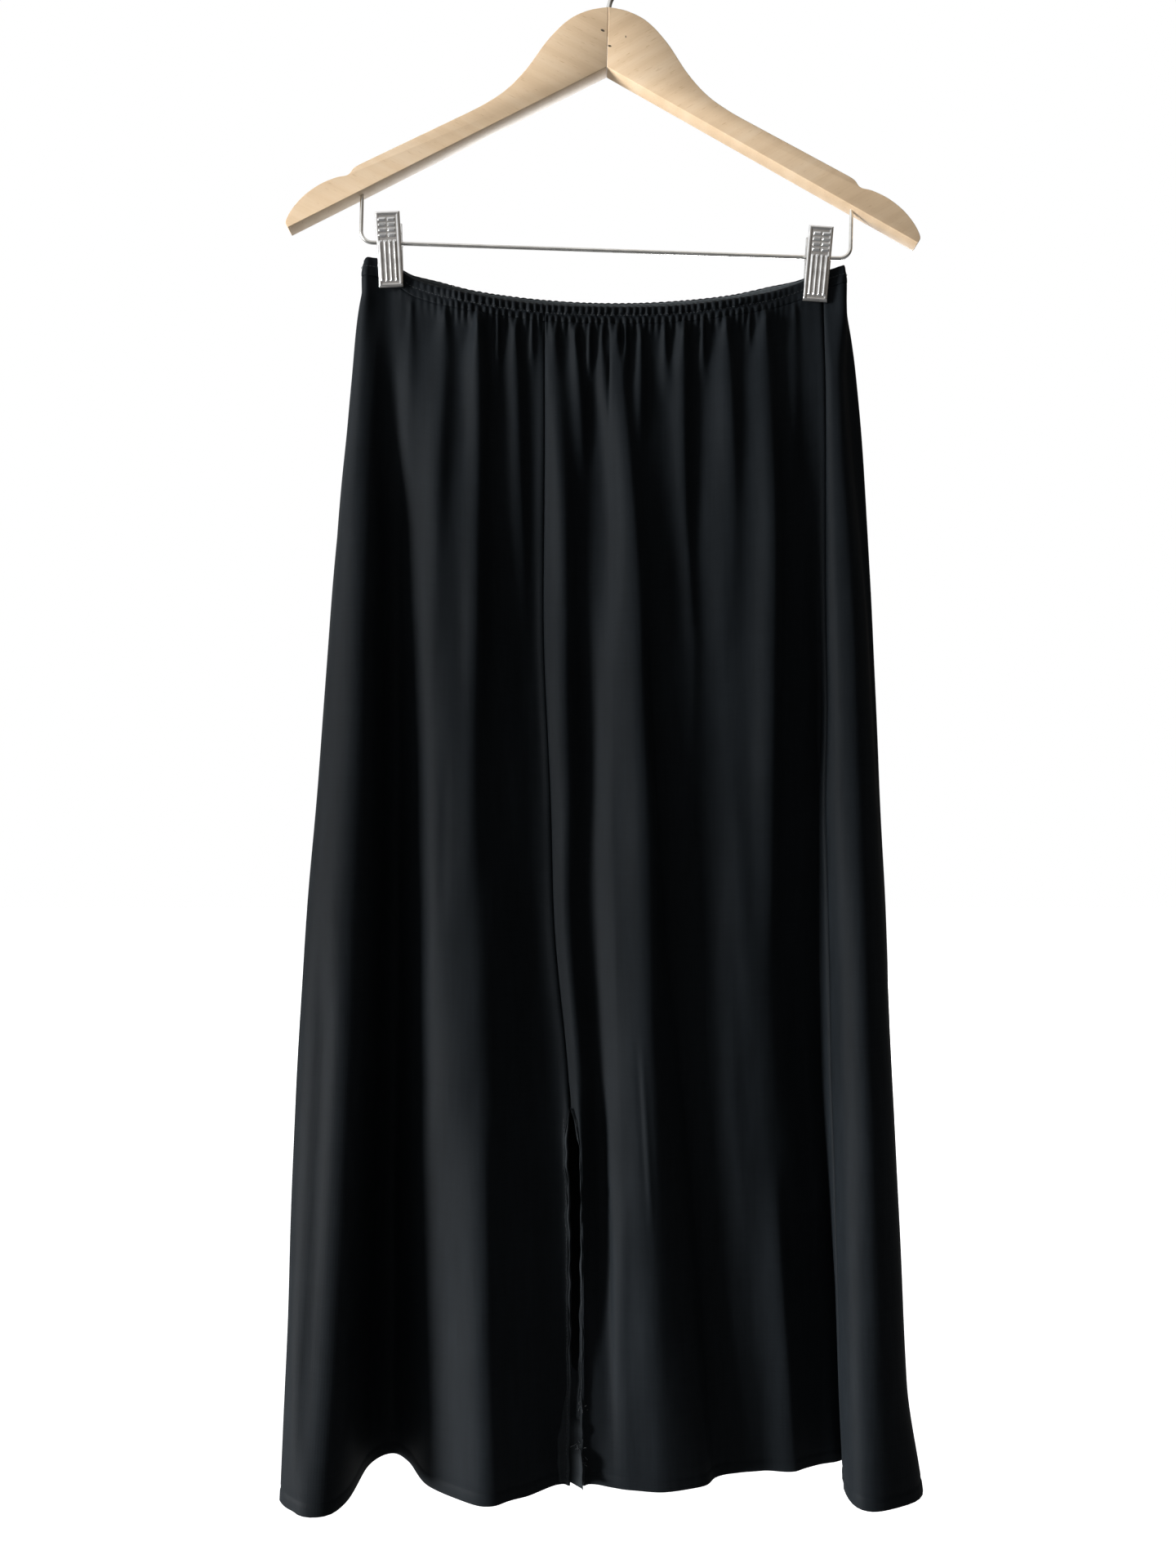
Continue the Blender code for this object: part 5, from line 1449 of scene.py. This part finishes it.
@dataclass
class Hanger:
    """The wooden hanger with its hook, its wire bar and its nail marks."""

    finishes: Finishes
    sizes: HangerSizes = HangerSizes()

    def tip(self) -> Matrix:
        """Return the turn of the whole hanger to the right."""
        return Matrix.Rotation(self.sizes.tip, 4, "Y")

    def build(self) -> None:
        """Build every piece of the hanger."""
        self.build_arms()
        self.build_hook()
        self.build_bar()
        self.build_marks()

    def outline(self) -> list[tuple[float, float]]:
        """Return the right half of the hanger from its top round to its underside."""
        hump = smooth_line([(0.0, -50.0), (14.0, -52.8), (28.0, -60.0), (42.0, -74.5),
                            (56.0, -94.5), (70.0, -109.5), (86.0, -120.5), (104.0, -130.0)], 8)
        end = smooth_line([(166.0, -161.5), (174.0, -166.0), (178.5, -171.2), (187.0, -173.4),
                           (198.0, -178.4), (208.5, -186.2), (216.5, -195.5), (221.0, -204.5),
                           (219.5, -209.0)], 7)
        return hump + end

    def build_arms(self) -> None:
        """Build each arm from the filled outline: extruded, parted at the mitre and rounded."""
        sizes = self.sizes
        for side, name in ((-1, "hanger_arm_left"), (1, "hanger_arm_right")):
            mitre = sizes.mitre_gap / 2
            points = [(mitre, sizes.underside_top), (mitre, sizes.wood_top), *self.outline()[1:]]
            corners = [(side * x * MM, -sizes.thickness / 2 * MM, z * MM) for x, z in points]
            mesh = bpy.data.meshes.new(f"{name}_wood")
            order = list(range(len(corners)))
            mesh.from_pydata(corners, [], [order if side > 0 else order[::-1]])
            arm = linked(mesh.name, mesh)
            with all_in_edit(arm):
                bpy.ops.mesh.extrude_region_move(
                    TRANSFORM_OT_translate={"value": (0.0, sizes.thickness * MM, 0.0)})
                bpy.ops.mesh.select_all(action="SELECT")
                bpy.ops.mesh.normals_make_consistent(inside=False)
            apply_modifier(arm, "BEVEL", width=sizes.edge_radius * MM, segments=3,
                           limit_method="ANGLE", angle_limit=math.radians(40.0))
            smooth_to(arm.data, 32.0)
            settle(arm, self.tip())
            wood = self.finishes.wood_left if side < 0 else self.finishes.wood_right
            adopt(arm, wood, (name,))

    def wire(self, name: str, line: list[tuple[float, ...]], radius: float, node: str) -> None:
        """Build a round wire along a line of points in millimetres."""
        data = bpy.data.curves.new(name, "CURVE")
        data.dimensions = "3D"
        data.bevel_depth = radius * MM
        data.bevel_resolution = 5
        data.use_fill_caps = True
        spline = data.splines.new("POLY")
        spline.points.add(len(line) - 1)
        for target, point in zip(spline.points, line):
            target.co = (point[0] * MM, point[1] * MM, point[2] * MM, 1.0)
        only(linked(name, data))
        bpy.ops.object.convert(target="MESH")
        piece = bpy.context.object
        with all_in_edit(piece):
            bpy.ops.mesh.remove_doubles(threshold=0.01 * MM)
            bpy.ops.mesh.normals_make_consistent(inside=False)
        smooth_to(piece.data, 50.0)
        settle(piece, self.tip())
        adopt(piece, self.finishes.wire, (node,))

    def build_hook(self) -> None:
        """Build the hook: a stem set in the mitre and a round crook over the origin."""
        sizes = self.sizes
        centre = (0.0, sizes.hook_wire - sizes.hook_radius)
        crook = arc(centre, sizes.hook_radius, sizes.hook_start, sizes.hook_end, 56)
        stem = smooth_line([(0.0, 0.0, sizes.wood_top + 2.0), (1.8, 0.0, sizes.wood_top + 9.0),
                            (6.5, 0.0, sizes.wood_top + 15.0), crook[0]], 8)
        line = [(0.0, 0.0, sizes.hook_foot), *stem[:-1], *crook]
        self.wire("hanger_hook_wire", line, sizes.hook_wire, "hanger_hook")

    def bar_height(self, x: float) -> float:
        """Return the bar's height at an x, in the hanger's own frame."""
        sizes = self.sizes
        share = (x - sizes.bar_left) / (sizes.bar_right - sizes.bar_left)
        return sizes.bar_left_height + (sizes.bar_right_height - sizes.bar_left_height) * share

    def build_bar(self) -> None:
        """Build the wire bar: two legs set in the wood and a straight run between them."""
        sizes = self.sizes
        down = math.radians(180.0)
        slope = math.atan2(sizes.bar_right_height - sizes.bar_left_height,
                           sizes.bar_right - sizes.bar_left)
        left = (sizes.bar_left + sizes.bar_corner, sizes.bar_left_height + sizes.bar_corner)
        right = (sizes.bar_right - sizes.bar_corner, sizes.bar_right_height + sizes.bar_corner)
        tops = [sizes.underside_top + sizes.underside_slope * abs(x) + sizes.bar_seat
                for x in (sizes.bar_left, sizes.bar_right)]
        line = [(sizes.bar_left, 0.0, tops[0])]
        line += arc(left, sizes.bar_corner, down, down * 1.5 + slope, 14)
        line += arc(right, sizes.bar_corner, down * 1.5 + slope, down * 2, 14)
        line.append((sizes.bar_right, 0.0, tops[1]))
        self.wire("hanger_bar_wire", line, sizes.bar_wire, "hanger_bar")

    def build_marks(self) -> None:
        """Build the small dark nail marks beside the mitre, each a squashed sunk head."""
        marks = ((-3.6, -66.6, 1.5, 25.0), (1.5, -77.3, 1.3, 10.0), (12.6, -70.6, 0.8, 80.0))
        for number, (x, z, half, turn) in enumerate(marks, start=1):
            deselect()
            bpy.ops.mesh.primitive_cylinder_add(
                vertices=16, radius=half * MM, depth=0.5 * MM,
                location=(x * MM, (-self.sizes.thickness / 2 + 0.18) * MM, z * MM),
                rotation=(math.radians(90.0), math.radians(turn), 0.0))
            mark = bpy.context.object
            mark.name = f"hanger_nail_mark_{number}"
            mark.scale = (1.0, 0.5, 1.0)
            bpy.ops.object.transform_apply(location=False, rotation=False, scale=True)
            apply_modifier(mark, "BEVEL", width=0.08 * MM, segments=2, limit_method="ANGLE")
            mark.data.shade_smooth()
            settle(mark, self.tip())
            adopt(mark, self.finishes.mark)


@dataclass(frozen=True)
class ClipSizes:
    """A sprung clip, measured from the bar that it turns on."""

    width: float = 16.6
    back_width: float = 14.1
    top: float = 18.4
    bottom: float = -32.2
    bottom_face: float = 5.1
    top_face: float = 10.4
    corner: float = 1.3
    rib_rows: tuple[float, ...] = (13.2, 9.6, 6.1, 2.6)
    rib_centres: tuple[float, ...] = (-3.2, 3.2)
    rib_half_length: float = 2.75
    rib_half_height: float = 1.2
    rib_relief: float = 1.0
    flute_centres: tuple[float, ...] = (-4.95, -1.65, 1.65, 4.95)
    flute_half_width: float = 1.25
    flute_relief: float = 0.95
    flute_top: float = -0.6
    flute_bottom: float = -28.6
    spring_radius: float = 2.7
    spring_wire: float = 0.5
    spring_width: float = 9.8
    spring_turns: float = 6.5


@dataclass
class Clip:
    """One clip: two pressed leaves and a coiled spring on the bar."""

    name: str
    x: float
    lean: float
    pressing_shift: float
    hanger: Hanger
    finishes: Finishes
    sizes: ClipSizes = ClipSizes()

    def pivot(self) -> Vector:
        """Return the bar's point that the clip turns on, in millimetres."""
        tip = self.hanger.sizes.tip
        along = self.x / math.cos(tip)
        along -= math.tan(tip) * self.hanger.bar_height(along)
        return self.hanger.tip() @ Vector((along, 0.0, self.hanger.bar_height(along)))

    def leaf_matrix(self, side: Side) -> Matrix:
        """Return the place of a leaf's face: x across, y behind the front face, z up."""
        sizes = self.sizes
        spread = math.atan2(sizes.top_face - sizes.bottom_face, sizes.top - sizes.bottom)
        face_to_bar = sizes.bottom_face - sizes.bottom * math.tan(spread)
        placed = Matrix.Translation(self.pivot() * MM)
        lean = Matrix.Rotation(self.lean, 4, "Y")
        open_up = Matrix.Rotation(-side.value * spread, 4, "X")
        offset = Matrix.Translation((0.0, side.value * face_to_bar * MM, 0.0))
        turn = Matrix.Rotation(0.0 if side is Side.FRONT else math.pi, 4, "Z")
        return placed @ lean @ open_up @ offset @ turn

    def build(self) -> None:
        """Build the clip's pressed faces and spring, and finish its packed leaves."""
        for side in Side:
            self.build_face(side)
            self.refine_leaf(side)
        self.build_spring()

    def relief(self, x: Array, z: Array, side: Side) -> Array:
        """Return how far the pressed ribs and flutes stand out of the face."""
        sizes = self.sizes
        height = np.zeros_like(x)
        x = x - self.pressing_shift
        for row in sizes.rib_rows:
            for centre in sizes.rib_centres:
                across = smoothstep((sizes.rib_half_length - np.abs(x - centre)) / 0.8)
                lift = np.clip((z - row) / sizes.rib_half_height, -1.0, 1.0)
                profile = smoothstep(1.0 - np.abs(lift)) * (1.0 - 0.35 * lift)
                height += sizes.rib_relief * across * profile
        for centre in sizes.flute_centres:
            ends = (smoothstep((sizes.flute_top - z) / 1.6)
                    * smoothstep((z - sizes.flute_bottom) / 1.6))
            across = np.clip(np.abs(x - centre) / sizes.flute_half_width, 0.0, 1.0)
            height += sizes.flute_relief * ends * (1.0 - across**2)
        return height * (1.0 if side is Side.FRONT else 0.8)

    def build_face(self, side: Side) -> None:
        """Build a leaf's pressed face as a rounded plate that wraps the leaf's edges."""
        sizes = self.sizes
        width = (sizes.width if side is Side.FRONT else sizes.back_width) + 0.5
        across = np.linspace(-width / 2, width / 2, 97)
        up = np.linspace(sizes.bottom - 0.25, sizes.top + 0.25, 181)
        grid_x, grid_z = np.meshgrid(across, up[::-1])
        middle = (sizes.top + sizes.bottom) / 2
        half_height = (sizes.top - sizes.bottom) / 2 + 0.25
        inset = np.minimum(width / 2 - np.abs(grid_x), half_height - np.abs(grid_z - middle))
        edge = np.clip(1.0 - inset / sizes.corner, 0.0, 1.0)
        roll = sizes.corner * (1.0 - np.sqrt(1.0 - np.minimum(edge, 0.999) ** 2))
        dish = 0.35 * smoothstep((inset - 1.6) / 1.2)
        bevel = 0.9 * smoothstep((sizes.flute_bottom - 1.0 - grid_z) / 3.2)
        proud = 0.45 - roll - dish - bevel + self.relief(grid_x, grid_z, side)
        front = np.stack([grid_x, -proud, grid_z], -1)
        behind = np.stack([grid_x * 0.965, np.maximum(-proud, -0.2) + 0.35, grid_z], -1)
        uv = np.stack([grid_x, grid_z], -1) * MM
        mesh = wall_mesh(f"{self.name}_{side.name.lower()}_pressing", front * MM, behind * MM, uv)
        mesh.transform(self.leaf_matrix(side))
        add_piece(mesh, self.finishes.clip)

    def refine_leaf(self, side: Side) -> None:
        """Replace a packed leaf by a copy with its edges softened."""
        node = f"{self.name}_{side.name.lower()}_leaf"
        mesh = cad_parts[node].data.copy()
        mesh.name = f"{node}_sheet"
        leaf = linked(mesh.name, mesh)
        with all_in_edit(leaf):
            bpy.ops.mesh.remove_doubles(threshold=0.005 * MM)
            bpy.ops.mesh.dissolve_limited(angle_limit=math.radians(1.0))
        apply_modifier(leaf, "BEVEL", width=0.25 * MM, segments=2, limit_method="ANGLE",
                       angle_limit=math.radians(35.0), use_clamp_overlap=True)
        smooth_to(leaf.data, 35.0)
        adopt(leaf, self.finishes.clip, (node,))

    def build_spring(self) -> None:
        """Build the spring: a coil round the bar with an arm behind each leaf."""
        sizes = self.sizes
        turns = np.linspace(0.0, sizes.spring_turns * 2 * math.pi, int(sizes.spring_turns * 20))
        along = np.linspace(-sizes.spring_width / 2, sizes.spring_width / 2, len(turns))
        radius = sizes.spring_radius
        coil = np.column_stack([along, radius * np.cos(turns), radius * np.sin(turns)])
        share = np.linspace(0.0, 1.0, 10)[:, None]
        first = coil[0] + share[::-1] * np.array((0.0, 2.2, -13.0))
        last = coil[-1] + share * np.array((0.0, -1.4, -13.0))
        line = np.concatenate([first[:-1], coil, last[1:]]) * MM
        mesh = thread_mesh(f"{self.name}_spring_coil", [line], sizes.spring_wire * MM, 8)
        mesh.transform(Matrix.Translation(self.pivot() * MM) @ self.hanger.tip())
        add_piece(mesh, self.finishes.wire, (f"{self.name}_spring",))


@dataclass(frozen=True)
class Studio:
    """The camera, the soft lights, the pale floor and the white behind."""

    camera_place: Triple = (-0.0154, -0.825, -0.591)
    lens: float = 27.0
    floor_height: float = -1.42
    soft_fill: float = 0.045

    def build(self) -> None:
        """Build the whole studio."""
        self.build_camera()
        self.build_floor()
        self.build_world()
        self.add_light("key", (-5.68, -1.96, -1.1), -0.74, 1.5, 590.0)
        self.add_light("behind", (0.9, 4.6, -0.3), -0.6, 1.2, 110.0)
        self.add_spot("high_spot", (-2.6, -0.9, 0.1), -0.14, 15.0, 430.0)
        self.add_spot("low_spot", (-2.6, -0.9, -1.25), -1.1, 17.0, 640.0)

    def build_camera(self) -> None:
        """Add the level camera that the whole part is seen from."""
        data = bpy.data.cameras.new("camera")
        data.lens = self.lens
        data.sensor_width = 36.0
        data.clip_start = 0.01
        camera = linked("camera", data)
        camera.location = self.camera_place
        camera.rotation_euler = (math.radians(90.0), 0.0, 0.0)
        bpy.context.scene.camera = camera

    def build_floor(self) -> None:
        """Add the pale floor under the hanging skirt."""
        deselect()
        bpy.ops.mesh.primitive_plane_add(size=14.0, location=(0.0, 0.0, self.floor_height))
        floor = bpy.context.object
        floor.name = "studio_floor"
        graph, shader, material = finish_start("pale_floor")
        shade = graph.noise(graph.spots(), 3.0, 2.0)
        colour = graph.ramp(shade, [(0.3, (0.90, 0.90, 0.90)), (0.7, (0.93, 0.93, 0.93))])
        graph.join(colour, shader.inputs["Base Color"])
        preset(shader, Roughness=0.9, Specular_IOR_Level=0.1, Emission_Color=(*WHITE, 1.0))
        rays = graph.add("ShaderNodeLightPath")
        graph.join(rays.outputs["Is Camera Ray"], shader.inputs["Emission Strength"])
        floor.data.materials.append(material)

    def build_world(self) -> None:
        """Add a white background that lights cloth and wood only softly."""
        world = bpy.data.worlds.new("studio_white")
        world.use_nodes = True
        graph = Graph(world.node_tree)
        seen = preset(world.node_tree.nodes["Background"], Color=(*WHITE, 1.0), Strength=1.0)
        room = graph.add("ShaderNodeBackground")
        ways = graph.add("ShaderNodeTexCoord").outputs["Generated"]
        parts = graph.add("ShaderNodeSeparateXYZ")
        graph.join(ways, parts.inputs[0])
        patches = graph.noise(graph.stretch(ways, (2.2, 2.2, 3.2)), 1.0, 1.0)
        mirrored = graph.blend((parts.outputs["Z"], 0.42), (parts.outputs["X"], -0.30),
                               (patches, 0.5))
        graph.join(graph.ramp(mirrored, [(0.12, (0.07, 0.06, 0.05)), (0.36, (0.34, 0.32, 0.30)),
                                         (0.48, (0.62, 0.61, 0.59)), (0.60, WHITE)]),
                   room.inputs["Color"])
        dim = preset(graph.add("ShaderNodeBackground"), Color=(0.95, 0.98, 1.0, 1.0),
                     Strength=self.soft_fill)
        rays = graph.add("ShaderNodeLightPath")
        mixed = room
        for chosen, other in (("Is Diffuse Ray", dim), ("Is Camera Ray", seen)):
            choice = graph.add("ShaderNodeMixShader")
            graph.join(rays.outputs[chosen], choice.inputs[0])
            graph.join(mixed.outputs[0], choice.inputs[1])
            graph.join(other.outputs[0], choice.inputs[2])
            mixed = choice
        graph.join(mixed.outputs[0], world.node_tree.nodes["World Output"].inputs["Surface"])
        bpy.context.scene.world = world
        bpy.context.scene.view_settings.view_transform = "Standard"

    def add_light(self, name: str, place: Triple, aim: float, size: float, power: float) -> None:
        """Add one soft square light."""
        data = bpy.data.lights.new(name, "AREA")
        data.size = size
        data.energy = power
        self.place_light(data, place, aim)

    def add_spot(self, name: str, place: Triple, aim: float, degrees: float, power: float) -> None:
        """Add one light whose round beam fades softly to its rim."""
        data = bpy.data.lights.new(name, "SPOT")
        data.spot_size = math.radians(degrees)
        data.spot_blend = 1.0
        data.shadow_soft_size = 0.3
        data.energy = power
        self.place_light(data, place, aim)

    def place_light(self, data: bpy.types.Light, place: Triple, aim: float) -> None:
        """Put a light in its place and turn it to a height on the part's middle line."""
        light = linked(data.name, data)
        light.location = place
        heading = Vector((0.0, 0.0, aim)) - Vector(place)
        light.rotation_euler = heading.to_track_quat("-Z", "Y").to_euler()


def main() -> None:
    """Build the studio, the skirt, the hanger and the clips, in that order."""
    logging.basicConfig(level=logging.INFO, format="%(name)s: %(message)s")
    Studio().build()
    finishes = build_finishes()
    Skirt(SkirtForm(WaistSizes(), SkirtSizes()), finishes).build()
    hanger = Hanger(finishes)
    hanger.build()
    Clip("clip_left", -153.9, math.radians(-2.4), -0.8, hanger, finishes).build()
    Clip("clip_right", 145.2, math.radians(4.2), 0.7, hanger, finishes).build()


if __name__ == "__main__":
    main()
